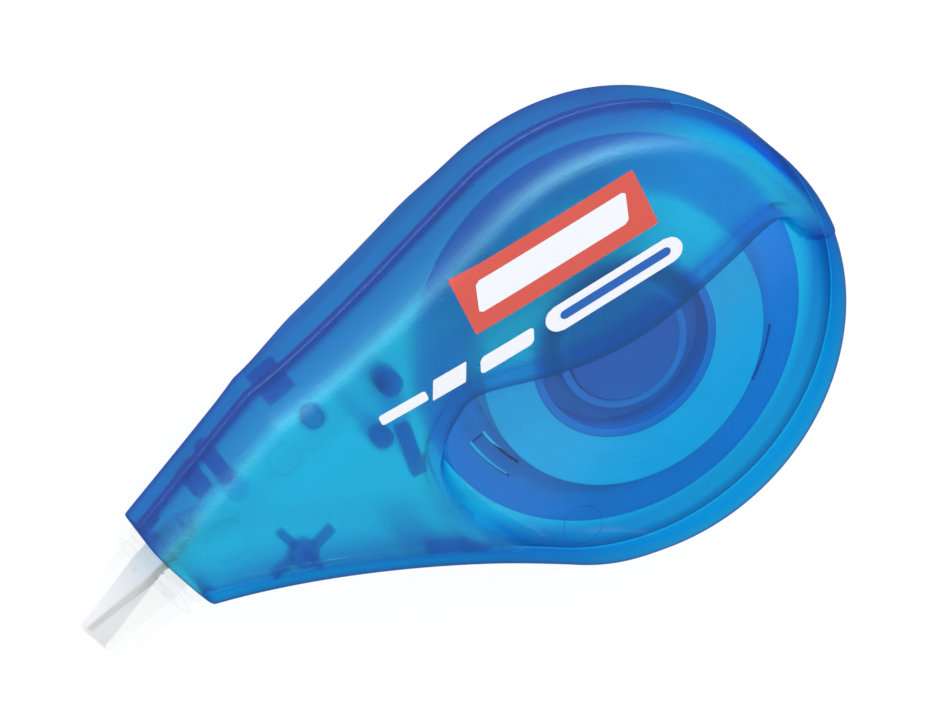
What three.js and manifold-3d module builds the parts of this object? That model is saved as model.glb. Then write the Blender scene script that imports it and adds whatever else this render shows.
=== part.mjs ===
// A sideways correction tape: a see-through two-part casing around coaxial supply and take-up reels,
// with a white tip.
// Millimetres, +Z up. The casing lies on its back face, and the origin is where the reel axis meets it.
// The nose with the tip points to -X, the round tail to +X, and the front with its window faces +Z.
import * as THREE from "three";
import { mergeVertices } from "three/addons/utils/BufferGeometryUtils.js";
import Module from "manifold-3d";

const wasm = await Module();
wasm.setup();

// Tape
const tapeWidth = 4.2;
const ribbonThickness = 0.15;
const ribbonGap = 0.15;
const rollRadius = 17.4;
const coreRadius = 11.4;
const wallGap = 0.35;
const reelGap = 0.3;

// Take-up reel
const flangeRadius = 24;
const flangeThickness = 0.9;
const drumStep = 2.6;
const drumThickness = 1;
const filmDepth = 0.7;
const filmGap = 0.1;
const hubTubeWall = 1.6;
const fingerSlot = 0.6;
const fingerWidth = 1.6;
const fingerTurn = 20;
const fingerAngles = [188, 308, 68];

// Supply core
const coreThickness = 1;
const sleeveRadius = 7.9;
const coreFloor = 0.9;

// Axle, cap and clutch ring
const axleRadius = 3.4;
const axleBore = 1.9;
const axleClearance = 0.3;
const capThickness = 0.5;
const capRim = 1.1;
const capGap = 0.25;
const stemClearance = 0.3;
const stemLength = 4;
const clutchClearance = 0.1;
const clutchHeight = 1.5;

// Casing
const wall = 1.4;
const flangeGap = 2.3;
const bodyShift = new THREE.Vector2(0.3, 0.4);
const seamAboveFlange = 0.6;
const stepHeight = 3.2;
const stepRun = 0.8;
const noseDrop = 2.5;
const noseDropEnd = -8;
const frontEdgeRise = 5;
const frontEdgeRun = 4;
const crownRun = 14;
const crownShare = 0.12;
const windowEdge = 2;
const backEdgeTail = 3;
const backEdgeNose = 4.4;
const windowFadeStart = -30;
const windowFadeEnd = -22;

// Outline of the casing, seen from the front
const noseCentre = new THREE.Vector2(-56.95, 4.9);
const noseWidth = 12.5;
const noseTilt = 16.6;
const noseCorner = 1;
const leastCorner = 0.2;
const shoulderRun = 19.9;
const shoulderAngle = 22;
const shoulderAfter = 7;
const shoulderHandle = 10;
const topTurn = 106.7;
const topHandle = 9.6;
const bottomAngle = -18;
const bottomHandle = 13.9;
const bottomTurn = 231.3;
const bottomTurnHandle = 12.8;

// Upper edge of the window, from the left end of the S curve to the rim
const windowLine = [
  [-27.5, -3],
  [-25, 2.9],
  [-21.7, 6.2],
  [-17.8, 7.3],
  [-8.8, 4.4],
  [-1.8, 3],
  [5.2, 3.2],
  [13.2, 4.75],
  [20.3, 6.4],
  [24.6, 5.9],
  [27.2, 2.5],
];

// Locating pegs of the front shell, in sockets of the back shell
const pegPlaces = [
  { x: -47.8, y: 11.6 },
  { x: -35.8, y: 14.4 },
  { x: -30, y: 8.2 },
  { x: -43.2, y: -1.7 },
];
const pegRadius = 0.8;
const pegClearance = 0.2;
const socketWall = 0.5;
const socketHeight = 9.6;
const pegDepth = 3;

// Guide wall and post beside the take-up flange, placed by angle on it
const guideGap = 2.6;
const guideWall = 1.4;
const guideFrom = 160;
const guideTo = 178;
const guidePostRadius = 1.2;

// Rib and pins along the returning film, placed by their distance from the tip's inner end
const ribStart = 24.6;
const ribLength = 4.3;
const ribThickness = 1.2;
const ribOffset = 1.6;
const pinPlace = 31.7;
const pinRadius = 0.7;
const pinSlack = 0.4;
const coverGap = 0.3;

// Tip, along its own axis from the nose outward
const tipReach = 12.1;
const tipInside = 3;
const wedgeRoot = 2.6;
const wedgeEdge = 0.5;
const taperStart = 2.5;
const cheekThickness = 0.9;
const cheekGap = 0.15;
const cheekRoot = 4.7;
const cheekEnd = 2.3;
const cheekSetback = 0.5;
const tipClearance = 0.3;
const plateThickness = 0.7;
const plateStarts = [0.4, 2.1];
const wingThickness = 0.9;
const wingReach = 1;
const wingHeight = 2.6;
const plateMargin = 0.5;
const notchPlace = 3.4;
const notchLength = 1.6;
const notchWidth = 0.5;

// Free runs of tape and film
const twistStart = 1;
const twistLength = 8.5;
const wrapAngle = 24;

// Mesh fineness
const roundSteps = 48;
const smallSteps = 14;
const edgeColumns = 34;
const edgeRows = [0.07, 0.27, 0.58, 1];
const cornerShares = [0, 0.006, 0.013];
const cornerEnd = 0.03;
const edgeReach = 0.42;
const middleMargin = 0.1;
const lowMargin = 0.4;
const leastSlope = 0.5;
const distanceSteps = 90;
const windowSteps = 60;
const aroundSteps = 6;
const bentSteps = 6;
const wrapSteps = 3;
const twistSteps = 10;

// Heights that follow from the stack of reels
const drumBottom = wall + wallGap;
const filmBottom = drumBottom + filmGap;
const flangeBottom = filmBottom + tapeWidth + filmGap;
const flangeTop = flangeBottom + flangeThickness;
const rollBottom = flangeTop + reelGap;
const rollTop = rollBottom + tapeWidth;
const windowHeight = rollTop + wallGap + wall;
const crestHeight = windowHeight + stepHeight;
const seamHeight = flangeTop + seamAboveFlange;
const tipHeight = (crestHeight - noseDrop) / 2;

// Radii that follow from their neighbours
const drumRadius = rollRadius + drumStep;
const filmRadius = drumRadius + filmGap;
const tailRadius = flangeRadius + flangeGap + wall;
const tubeBore = axleRadius + axleClearance;
const tubeRadius = tubeBore + hubTubeWall;
const capTop = windowHeight - wall - capGap;
const capBottom = capTop - capThickness;
const tubeTop = capBottom - capGap;
const sleeveBore = sleeveRadius - coreThickness;

const radians = THREE.MathUtils.degToRad;
const direction = (degrees) => new THREE.Vector2(Math.cos(radians(degrees)), Math.sin(radians(degrees)));
const onTail = (degrees, inset) => direction(degrees).multiplyScalar(tailRadius - inset).add(bodyShift);
const noseAxis = direction(noseTilt + 180);
const noseAcross = new THREE.Vector2(noseAxis.y, -noseAxis.x);

// A closed geometry as a solid for joining and cutting.
function solidOf(geometry) {
  const bare = geometry.clone();
  bare.deleteAttribute("normal");
  bare.deleteAttribute("uv");
  const merged = mergeVertices(bare, 1e-4);
  const index = merged.index.array;
  const kept = [];
  for (let i = 0; i < index.length; i += 3) {
    const [a, b, c] = index.slice(i, i + 3);
    if (a !== b && b !== c && c !== a) kept.push(a, b, c);
  }
  const mesh = new wasm.Mesh({
    numProp: 3,
    vertProperties: merged.attributes.position.array,
    triVerts: new Uint32Array(kept),
  });
  return new wasm.Manifold(mesh);
}

function geometryOf(solid) {
  const mesh = solid.getMesh();
  const geometry = new THREE.BufferGeometry();
  geometry.setAttribute("position", new THREE.BufferAttribute(mesh.vertProperties, 3));
  geometry.setIndex(new THREE.BufferAttribute(mesh.triVerts, 1));
  const flat = geometry.toNonIndexed();
  flat.computeVertexNormals();
  return flat;
}

// A solid turned about the reel axis from [radius, height] points that go round it once.
function turned(points, steps) {
  const loop = points.concat([points[0]]).map(([r, z]) => new THREE.Vector2(r, z));
  return solidOf(new THREE.LatheGeometry(loop, steps).rotateX(Math.PI / 2));
}

function ring(inner, outer, low, high, steps) {
  return turned([[inner, low], [outer, low], [outer, high], [inner, high]], steps);
}

function post(radius, low, high, x, y) {
  const geometry = new THREE.CylinderGeometry(radius, radius, high - low, smallSteps);
  return solidOf(geometry.rotateX(Math.PI / 2).translate(x, y, (low + high) / 2));
}

const join = (solids) => solids.reduce((sum, next) => sum.add(next));

// Nose corner of the outline, side +1 for the upper edge and -1 for the lower one, drawn in by inset.
function cornerOf(side, edgeAngle, inset) {
  const slant = radians(side * (edgeAngle - noseTilt));
  const half = noseWidth / 2 + inset * (Math.tan(slant) - 1 / Math.cos(slant));
  return noseCentre.clone().addScaledVector(noseAxis, -inset).addScaledVector(noseAcross, side * half);
}

// One long edge of the outline, from the nose to the end of the tail.
function edgePath(side, inset) {
  const upper = side > 0;
  const angle = upper ? shoulderAngle : bottomAngle;
  const corner = cornerOf(side, angle, inset);
  const rounding = Math.max(noseCorner - inset, leastCorner);
  const path = new THREE.Path();
  const start = corner.clone().addScaledVector(noseAcross, -side * rounding);
  path.moveTo(start.x, start.y);
  const after = corner.clone().addScaledVector(direction(angle), rounding);
  path.quadraticCurveTo(corner.x, corner.y, after.x, after.y);
  let from = after;
  if (upper) {
    const inward = direction((shoulderAngle + shoulderAfter) / 2 - 90).multiplyScalar(inset);
    from = cornerOf(side, angle, 0).addScaledVector(direction(shoulderAngle), shoulderRun).add(inward);
    path.lineTo(from.x, from.y);
  }
  const leave = upper ? shoulderAfter : bottomAngle;
  const first = from.clone().addScaledVector(direction(leave), upper ? shoulderHandle : bottomHandle);
  const turn = upper ? topTurn : bottomTurn;
  const end = onTail(turn, inset);
  const handle = upper ? topHandle : bottomTurnHandle;
  const second = end.clone().addScaledVector(direction(turn + side * 90), handle);
  path.bezierCurveTo(first.x, first.y, second.x, second.y, end.x, end.y);
  const stop = upper ? 0 : 360;
  path.absarc(bodyShift.x, bodyShift.y, tailRadius - inset, radians(turn), radians(stop), upper);
  return path;
}

// Places along an edge: close together round the nose corner, then evenly spaced.
function edgeShares() {
  const even = Array.from({ length: edgeColumns + 1 }, (_, i) => i / edgeColumns);
  return [...cornerShares, ...even.map((share) => cornerEnd + (1 - cornerEnd) * share)];
}

function outlineOf(inset) {
  const upper = edgePath(1, inset);
  const lower = edgePath(-1, inset);
  const shares = edgeShares();
  return {
    inset,
    top: shares.map((share) => upper.getPointAt(share)),
    bottom: shares.map((share) => lower.getPointAt(share)),
    line: [upper.getSpacedPoints(distanceSteps), lower.getSpacedPoints(distanceSteps)],
  };
}

// Distance of a point from the long edges of an outline.
function edgeDistance(outline, x, y) {
  let least = Infinity;
  for (const points of outline.line) {
    for (let i = 0; i + 1 < points.length; i += 1) {
      const a = points[i];
      const span = points[i + 1].clone().sub(a);
      const share = ((x - a.x) * span.x + (y - a.y) * span.y) / span.lengthSq();
      const near = THREE.MathUtils.clamp(share, 0, 1);
      least = Math.min(least, Math.hypot(a.x + span.x * near - x, a.y + span.y * near - y));
    }
  }
  return least;
}

// Quarter of an ellipse: 0 at the edge, 1 from the end of its run inward.
function quarter(share) {
  const rest = 1 - Math.min(share, 1);
  return Math.sqrt(1 - rest * rest);
}

const windowCurve = new THREE.SplineCurve(windowLine.map(([x, y]) => new THREE.Vector2(x, y)));
const windowPoints = windowCurve.getPoints(windowSteps);

// Height of the window's upper edge in y at a given x, moved up by the wall on the inside.
function windowTop(x, inset) {
  const last = windowPoints[windowPoints.length - 1];
  const after = windowPoints.findIndex((point) => point.x >= x);
  if (after === 0) return windowPoints[0].y + inset;
  if (after < 0) return last.y + inset;
  const [a, b] = [windowPoints[after - 1], windowPoints[after]];
  return a.y + ((b.y - a.y) * (x - a.x)) / (b.x - a.x) + inset;
}

// Share by which the surface is lowered into the window: 1 on its floor, 0 on the raised part.
function windowShare(x, y, inset) {
  const below = THREE.MathUtils.clamp((windowTop(x, inset) - y) / stepRun, 0, 1);
  return below * THREE.MathUtils.smoothstep(x, windowFadeStart, windowFadeEnd);
}

function frontHeight(outline, x, y) {
  const { inset } = outline;
  const distance = edgeDistance(outline, x, y);
  const nose = 1 - THREE.MathUtils.smoothstep(x, noseCentre.x, noseDropEnd);
  const top = crestHeight - noseDrop * nose - inset;
  const rounding = quarter(distance / (frontEdgeRun - inset)) * (1 - crownShare);
  const crown = quarter(distance / crownRun) * crownShare;
  const raised = top - (frontEdgeRise - inset) * (1 - rounding - crown);
  const edge = windowEdge - inset;
  const lowered = windowHeight - inset - edge * (1 - quarter(distance / edge));
  const share = windowShare(x, y, inset);
  return raised + (Math.min(lowered, raised) - raised) * share;
}

function backHeight(outline, x, y) {
  const { inset } = outline;
  const tail = THREE.MathUtils.smoothstep(x, noseCentre.x, 0);
  const edge = backEdgeNose + (backEdgeTail - backEdgeNose) * tail - inset;
  return inset + edge * (1 - quarter(edgeDistance(outline, x, y) / edge));
}

// Distances from the lower edge at which one column across the casing is sampled.
function rowPlaces(length, run, split) {
  const scale = Math.min(1, (edgeReach * length) / run);
  const edge = edgeRows.map((share) => share * run * scale);
  const last = edge[edge.length - 1];
  const highest = length - last * (1 + middleMargin);
  const middle = THREE.MathUtils.clamp(split, last + (length - 2 * last) * middleMargin, highest);
  const low = Math.max(middle - stepRun, last + (middle - last) * lowMargin);
  const inner = [(last + low) / 2, low, middle, middle + (length - last - middle) / 2];
  return [0, ...edge, ...inner, ...edge.map((place) => length - place).reverse(), length];
}

// A closed dome from the flat base up or down to the surface height, on one outline.
function dome(outline, base, heightAt, run, facesUp) {
  const columns = outline.bottom.map((low, i) => {
    const span = outline.top[i].clone().sub(low);
    const length = span.length();
    const unit = length > 0 ? span.clone().divideScalar(length) : span;
    const middle = low.clone().lerp(outline.top[i], 0.5);
    const split = (windowTop(middle.x, outline.inset) - low.y) / Math.max(unit.y, leastSlope);
    const surface = rowPlaces(length, run, split).map((place) => {
      const point = low.clone().addScaledVector(unit, place);
      return [point.x, point.y, heightAt(outline, point.x, point.y)];
    });
    return [[low.x, low.y, base], ...surface, [outline.top[i].x, outline.top[i].y, base]];
  });
  const positions = [];
  const triangle = (a, b, c) => positions.push(...(facesUp ? [a, b, c] : [a, c, b]).flat());
  const rows = columns[0].length;
  for (let i = 0; i + 1 < columns.length; i += 1) {
    for (let j = 0; j < rows; j += 1) {
      const k = (j + 1) % rows;
      triangle(columns[i][j], columns[i + 1][j], columns[i + 1][k]);
      triangle(columns[i][j], columns[i + 1][k], columns[i][k]);
    }
  }
  for (let j = 1; j + 1 < rows; j += 1) triangle(columns[0][0], columns[0][j], columns[0][j + 1]);
  const geometry = new THREE.BufferGeometry();
  geometry.setAttribute("position", new THREE.Float32BufferAttribute(positions, 3));
  return solidOf(geometry);
}

const outer = outlineOf(0);
const inner = outlineOf(wall);

// Free runs of tape in plan: from a reel, straight to the point where they enter the tip
const entryDepth = tipInside + twistStart;
const stripLift = ribbonGap + ribbonThickness / 2;
const tipEntry = noseCentre.clone().addScaledVector(noseAxis, -entryDepth);
const feedPathRadius = rollRadius + stripLift;
const filmPathRadius = filmRadius + filmDepth + stripLift;
const leaveAngle = (radius) => THREE.MathUtils.radToDeg(Math.acos(radius / tipEntry.length()));
const entryAngle = THREE.MathUtils.radToDeg(tipEntry.angle());
const feedAngle = entryAngle - leaveAngle(feedPathRadius);
const filmAngle = entryAngle + leaveAngle(filmPathRadius);
const filmEnd = direction(filmAngle).multiplyScalar(filmPathRadius);

// Turns a solid in the tip's own frame, x outward from the nose, into the casing's frame.
function atNose(geometry) {
  return geometry
    .rotateZ(radians(noseTilt + 180))
    .translate(noseCentre.x, noseCentre.y, tipHeight);
}

const cheekInner = tapeWidth / 2 + cheekGap;
const cheekOuter = cheekInner + cheekThickness;

// The hole in the nose that the root of the tip passes through.
function noseOpening() {
  const width = 2 * (cheekOuter + tipClearance);
  const height = 2 * (cheekRoot + tipClearance);
  const cutter = new THREE.BoxGeometry(4 * wall, width, height);
  return solidOf(atNose(cutter.translate(-wall / 2, 0, 0)));
}

function frontShell() {
  const hull = dome(outer, seamHeight, frontHeight, frontEdgeRun, true);
  const hollow = dome(inner, seamHeight - wall, frontHeight, frontEdgeRun - wall, true);
  const pegs = pegPlaces.map(({ x, y }) => {
    const roof = frontHeight(inner, x, y) + wall / 2;
    return post(pegRadius, socketHeight - pegDepth, roof, x, y);
  });
  return join([hull.subtract(hollow), ...pegs]).subtract(noseOpening());
}

// Low wall round part of the flange, as a bent bar from one angle to another.
function bentWall(radius, thickness, from, to, low, high) {
  const shape = new THREE.Shape();
  shape.absarc(0, 0, radius + thickness, radians(from), radians(to), false);
  shape.absarc(0, 0, radius, radians(to), radians(from), true);
  const settings = { depth: high - low, bevelEnabled: false, curveSegments: bentSteps };
  return solidOf(new THREE.ExtrudeGeometry(shape, settings).translate(0, 0, low));
}

const around = (place, radius) => Array.from({ length: aroundSteps }, (_, i) => {
  return direction((360 * i) / aroundSteps).multiplyScalar(radius).add(place);
});

// Height just under the cover, the lowest of some places inside the casing.
function underCover(places) {
  return Math.min(...places.map((place) => frontHeight(inner, place.x, place.y))) - coverGap;
}

function guides() {
  const low = wall / 2;
  const guideRadius = flangeRadius + guideGap;
  const postPlace = direction(guideFrom).multiplyScalar(guideRadius + guideWall / 2);
  const guideEnd = direction(guideTo).multiplyScalar(guideRadius + guideWall / 2);
  const guideTop = underCover([...around(postPlace, guidePostRadius), ...around(guideEnd, guideWall)]);
  const bar = bentWall(guideRadius, guideWall, guideFrom, guideTo, low, guideTop);
  const guidePost = post(guidePostRadius, low, guideTop, postPlace.x, postPlace.y);
  const along = filmEnd.clone().sub(tipEntry).normalize();
  const below = new THREE.Vector2(along.y, -along.x);
  const ribCentre = tipEntry.clone().addScaledVector(along, ribStart + ribLength / 2);
  ribCentre.addScaledVector(below, ribOffset + ribThickness / 2);
  const ribEnd = ribCentre.clone().addScaledVector(along, -ribLength / 2);
  const ribTop = underCover([...around(ribEnd, ribThickness), ...around(ribCentre, ribThickness)]);
  const ribBox = new THREE.BoxGeometry(ribLength, ribThickness, ribTop - low);
  ribBox.rotateZ(along.angle()).translate(ribCentre.x, ribCentre.y, (low + ribTop) / 2);
  const pins = [-1, 1].map((side) => {
    const place = tipEntry.clone().addScaledVector(along, pinPlace);
    place.addScaledVector(below, side * (pinRadius + pinSlack + ribbonThickness / 2));
    return post(pinRadius, low, underCover(around(place, pinRadius)), place.x, place.y);
  });
  return [bar, guidePost, solidOf(ribBox), ...pins];
}

function backShell() {
  const hull = dome(outer, seamHeight, backHeight, backEdgeTail, false);
  const hollow = dome(inner, seamHeight + wall, backHeight, backEdgeTail - wall, false);
  const axle = post(axleRadius, wall / 2, tubeTop, 0, 0);
  const bore = post(axleBore, capBottom - stemLength - stemClearance, capTop, 0, 0);
  const socketBore = pegRadius + pegClearance;
  const socketRadius = socketBore + socketWall;
  const sockets = pegPlaces.map(({ x, y }) => post(socketRadius, wall / 2, socketHeight, x, y));
  const holes = pegPlaces.map(({ x, y }) => {
    const floor = socketHeight - pegDepth - pegClearance;
    return post(socketBore, floor, socketHeight + wall, x, y);
  });
  const body = join([hull.subtract(hollow), axle, ...sockets, ...guides()]);
  return body.subtract(join([bore, ...holes])).subtract(noseOpening());
}

function supplyCore() {
  return turned([
    [sleeveBore, rollBottom],
    [coreRadius - ribbonGap, rollBottom],
    [coreRadius - ribbonGap, rollTop],
    [coreRadius - coreThickness, rollTop],
    [coreRadius - coreThickness, rollBottom + coreFloor],
    [sleeveRadius, rollBottom + coreFloor],
    [sleeveRadius, rollTop - reelGap],
    [sleeveBore, rollTop - reelGap],
  ], roundSteps);
}

function supplyTape() {
  return ring(coreRadius, rollRadius, rollBottom, rollTop, roundSteps);
}

// Slots round three spring fingers in the take-up flange.
function fingerSlots() {
  const middle = drumRadius - drumThickness / 2;
  const radii = [middle - fingerWidth / 2 - fingerSlot, middle + fingerWidth / 2];
  const [low, high] = [flangeBottom - filmGap / 2, flangeTop + reelGap];
  const endTurn = THREE.MathUtils.radToDeg(fingerSlot / middle);
  return fingerAngles.flatMap((angle) => [
    ...radii.map((radius) => bentWall(radius, fingerSlot, angle, angle + fingerTurn, low, high)),
    bentWall(radii[0], radii[1] + fingerSlot - radii[0], angle, angle + endTurn, low, high),
  ]);
}

function takeUpReel() {
  const reel = turned([
    [tubeBore, drumBottom],
    [tubeRadius, drumBottom],
    [tubeRadius, flangeBottom],
    [drumRadius - drumThickness, flangeBottom],
    [drumRadius - drumThickness, drumBottom],
    [drumRadius, drumBottom],
    [drumRadius, flangeBottom],
    [flangeRadius, flangeBottom],
    [flangeRadius, flangeTop],
    [tubeRadius, flangeTop],
    [tubeRadius, tubeTop],
    [tubeBore, tubeTop],
  ], roundSteps);
  return reel.subtract(join(fingerSlots()));
}

function takeUpFilm() {
  return ring(filmRadius, filmRadius + filmDepth, filmBottom, filmBottom + tapeWidth, roundSteps);
}

function clutchRing() {
  const low = (rollBottom + rollTop - clutchHeight) / 2;
  const [bore, radius] = [tubeRadius + clutchClearance, sleeveBore - clutchClearance];
  return ring(bore, radius, low, low + clutchHeight, roundSteps);
}

function hubCap() {
  const stemRadius = axleBore - stemClearance;
  const stemBottom = capBottom - stemLength;
  const points = [
    [0, stemBottom],
    [stemRadius, stemBottom],
    [stemRadius, capBottom],
    [tubeRadius + capRim, capBottom],
    [tubeRadius + capRim, capTop],
    [0, capTop],
  ];
  const outline = points.map(([r, z]) => new THREE.Vector2(r, z));
  return solidOf(new THREE.LatheGeometry(outline, roundSteps / 2).rotateX(Math.PI / 2));
}

// A flat plate in the tip's frame from a side profile of [outward, up] points.
function tipPlate(profile, from, to) {
  const shape = new THREE.Shape(profile.map(([x, z]) => new THREE.Vector2(x, z)));
  const geometry = new THREE.ExtrudeGeometry(shape, { depth: to - from, bevelEnabled: false });
  return solidOf(atNose(geometry.rotateX(Math.PI / 2).translate(0, to, 0)));
}

const cheekReach = tipReach - cheekSetback;

function applicatorTip() {
  const wedge = tipPlate([
    [-tipInside, -wedgeRoot],
    [taperStart, -wedgeRoot],
    [tipReach, -wedgeEdge],
    [tipReach, wedgeEdge],
    [taperStart, wedgeRoot],
    [-tipInside, wedgeRoot],
  ], -cheekOuter, cheekOuter);
  const profile = [
    [-tipInside, -cheekRoot],
    [taperStart, -cheekRoot],
    [cheekReach, -cheekEnd],
    [cheekReach, cheekEnd],
    [taperStart, cheekRoot],
    [-tipInside, cheekRoot],
  ];
  const cheeks = [-1, 1].map((side) => {
    const faces = [side * cheekInner, side * cheekOuter].sort((a, b) => a - b);
    return tipPlate(profile, faces[0], faces[1]);
  });
  const wings = [-1, 1].map((side) => {
    const from = side * (cheekInner + cheekThickness / 2);
    const faces = [from, side * (cheekOuter + wingReach)].sort((a, b) => a - b);
    const behind = -wall - tipClearance;
    const plate = [
      [behind - wingThickness, -wingHeight],
      [behind, -wingHeight],
      [behind, wingHeight],
      [behind - wingThickness, wingHeight],
    ];
    return tipPlate(plate, faces[0], faces[1]);
  });
  const plates = plateStarts.map((start) => {
    const reach = cheekRoot + plateMargin;
    const end = start + plateThickness;
    const plate = [[start, -reach], [end, -reach], [end, reach], [start, reach]];
    return tipPlate(plate, -cheekOuter - plateMargin, cheekOuter + plateMargin);
  });
  return join([wedge, ...cheeks, ...wings, ...plates]).subtract(join([...notches(), ...tapeSlots()]));
}

// Short blind slots in the outer sides of the cheeks.
function notches() {
  return [-1, 1].map((side) => {
    const slot = new THREE.BoxGeometry(notchWidth, cheekThickness, notchLength);
    return solidOf(atNose(slot.translate(notchPlace, side * cheekOuter, 0)));
  });
}

// Channels through the root plates for the tape above the wedge and the film below it.
function tapeSlots() {
  const length = plateStarts[1] + plateThickness + tipClearance;
  const height = ribbonThickness + 2 * ribbonGap;
  return [-1, 1].map((side) => {
    const slot = new THREE.BoxGeometry(length, 2 * cheekInner, height);
    return solidOf(atNose(slot.translate(length / 2, 0, side * (wedgeRoot + height / 2))));
  });
}

// A thin strip through stations of { at, across }: a point on its middle line and its width direction.
// Both faces are split along the same diagonals, so that they stay apart where the strip twists.
function ribbon(stations) {
  const sections = stations.map(({ at, across }, i) => {
    const before = stations[Math.max(i - 1, 0)].at;
    const after = stations[Math.min(i + 1, stations.length - 1)].at;
    const along = after.clone().sub(before).normalize();
    const side = across.clone().addScaledVector(along, -across.dot(along)).normalize();
    const face = along.clone().cross(side);
    return [[-1, -1], [1, -1], [1, 1], [-1, 1]].map(([s, f]) => {
      const corner = at.clone().addScaledVector(side, (s * tapeWidth) / 2);
      return corner.addScaledVector(face, (f * ribbonThickness) / 2).toArray();
    });
  });
  const positions = [];
  const quad = (a, b, c, d) => positions.push(...a, ...b, ...c, ...a, ...c, ...d);
  for (let i = 0; i + 1 < sections.length; i += 1) {
    for (let k = 0; k < 4; k += 1) {
      const next = (k + 1) % 4;
      const corners = [sections[i][k], sections[i][next], sections[i + 1][next], sections[i + 1][k]];
      if (k > 1) corners.push(corners.shift());
      quad(...corners);
    }
  }
  const last = sections[sections.length - 1];
  quad(sections[0][3], sections[0][2], sections[0][1], sections[0][0]);
  quad(last[0], last[1], last[2], last[3]);
  const geometry = new THREE.BufferGeometry();
  geometry.setAttribute("position", new THREE.Float32BufferAttribute(positions, 3));
  return solidOf(geometry);
}

const upright = new THREE.Vector3(0, 0, 1);
const acrossTip = new THREE.Vector3(noseAcross.x, noseAcross.y, 0);

const stationOnTip = (side, outward, up) => {
  const place = noseCentre.clone().addScaledVector(noseAxis, outward);
  const at = new THREE.Vector3(place.x, place.y, tipHeight + side * up);
  return { at, across: acrossTip.clone().multiplyScalar(side) };
};

// Stations from a reel's tangent point to the tip's edge, with a quarter turn just before the tip.
function stripStations(angle, radius, height, side) {
  const onReel = (degrees) => {
    const place = direction(degrees).multiplyScalar(radius);
    return new THREE.Vector3(place.x, place.y, height);
  };
  const wrap = Array.from({ length: wrapSteps }, (_, i) => {
    const share = 1 - i / wrapSteps;
    return { at: onReel(angle - side * wrapAngle * share), across: upright };
  });
  const leave = onReel(angle);
  const entry = stationOnTip(side, -entryDepth, wedgeRoot + stripLift).at;
  const twist = Array.from({ length: twistSteps + 1 }, (_, i) => {
    const share = i / twistSteps;
    const at = leave.clone().lerp(entry, 1 - (twistLength * (1 - share)) / entry.distanceTo(leave));
    const turn = (share * Math.PI) / 2;
    const across = upright.clone().multiplyScalar(Math.cos(turn));
    return { at, across: across.addScaledVector(acrossTip, side * Math.sin(turn)) };
  });
  const bend = stripLift * Math.SQRT1_2;
  return [
    ...wrap,
    { at: leave, across: upright },
    ...twist,
    stationOnTip(side, taperStart, wedgeRoot + stripLift),
    stationOnTip(side, tipReach, wedgeEdge + stripLift),
    stationOnTip(side, tipReach + bend, wedgeEdge + bend),
    stationOnTip(side, tipReach + stripLift, wedgeEdge),
    stationOnTip(side, tipReach + stripLift, ribbonGap),
  ];
}

function feedTape() {
  return ribbon(stripStations(feedAngle, feedPathRadius, (rollBottom + rollTop) / 2, 1));
}

function returnFilm() {
  return ribbon(stripStations(filmAngle, filmPathRadius, filmBottom + tapeWidth / 2, -1));
}

const meshOf = (name, solid, material) => {
  const mesh = new THREE.Mesh(geometryOf(solid), material);
  mesh.name = name;
  return mesh;
};

const clearBlue = { color: 0x2aa3e0, roughness: 0.35, metalness: 0, transparent: true, opacity: 0.5 };
const innerBlue = { color: 0x2f6fb5, roughness: 0.4, metalness: 0 };

const object = new THREE.Group();
object.add(
  meshOf("front_shell", frontShell(), new THREE.MeshStandardMaterial(clearBlue)),
  meshOf("back_shell", backShell(), new THREE.MeshStandardMaterial(clearBlue)),
  meshOf("applicator_tip", applicatorTip(), new THREE.MeshStandardMaterial({ color: 0xf2f4f5 })),
  meshOf("supply_core", supplyCore(), new THREE.MeshStandardMaterial(innerBlue)),
  meshOf("supply_tape", supplyTape(), new THREE.MeshStandardMaterial({ color: 0xf4f4f0 })),
  meshOf("take_up_reel", takeUpReel(), new THREE.MeshStandardMaterial(innerBlue)),
  meshOf("take_up_film", takeUpFilm(), new THREE.MeshStandardMaterial({ color: 0xd8dde0 })),
  meshOf("feed_tape", feedTape(), new THREE.MeshStandardMaterial({ color: 0xf4f4f0 })),
  meshOf("return_film", returnFilm(), new THREE.MeshStandardMaterial({ color: 0xd8dde0 })),
  meshOf("clutch_ring", clutchRing(), new THREE.MeshStandardMaterial({ color: 0x20242c })),
  meshOf("hub_cap", hubCap(), new THREE.MeshStandardMaterial(innerBlue)),
);

export default object;
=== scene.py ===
import math

import bmesh
import bpy
import numpy as np
from mathutils import Matrix, Vector

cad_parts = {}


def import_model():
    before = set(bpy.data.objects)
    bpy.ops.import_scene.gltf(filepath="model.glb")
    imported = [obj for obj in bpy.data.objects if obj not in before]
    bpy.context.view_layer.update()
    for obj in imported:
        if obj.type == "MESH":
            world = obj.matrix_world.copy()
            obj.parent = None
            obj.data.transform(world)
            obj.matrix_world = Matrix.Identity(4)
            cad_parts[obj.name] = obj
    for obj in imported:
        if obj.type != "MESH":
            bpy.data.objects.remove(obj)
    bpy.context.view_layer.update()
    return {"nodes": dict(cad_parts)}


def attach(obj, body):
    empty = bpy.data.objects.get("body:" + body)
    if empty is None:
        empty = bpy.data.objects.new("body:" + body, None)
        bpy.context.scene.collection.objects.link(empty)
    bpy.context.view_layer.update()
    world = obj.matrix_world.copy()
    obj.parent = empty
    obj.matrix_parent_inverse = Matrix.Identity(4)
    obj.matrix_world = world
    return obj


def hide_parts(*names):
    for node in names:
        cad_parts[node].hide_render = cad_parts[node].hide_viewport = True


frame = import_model()

# All sizes are in millimetres until a mesh is made. Where the part's source has the same form they repeat
# its values. The finger slots, the cap's rim, the seam's groove and the back shell's sharper upper edge
# are drawn here as the photograph shows them.
MM = 0.001

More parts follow.
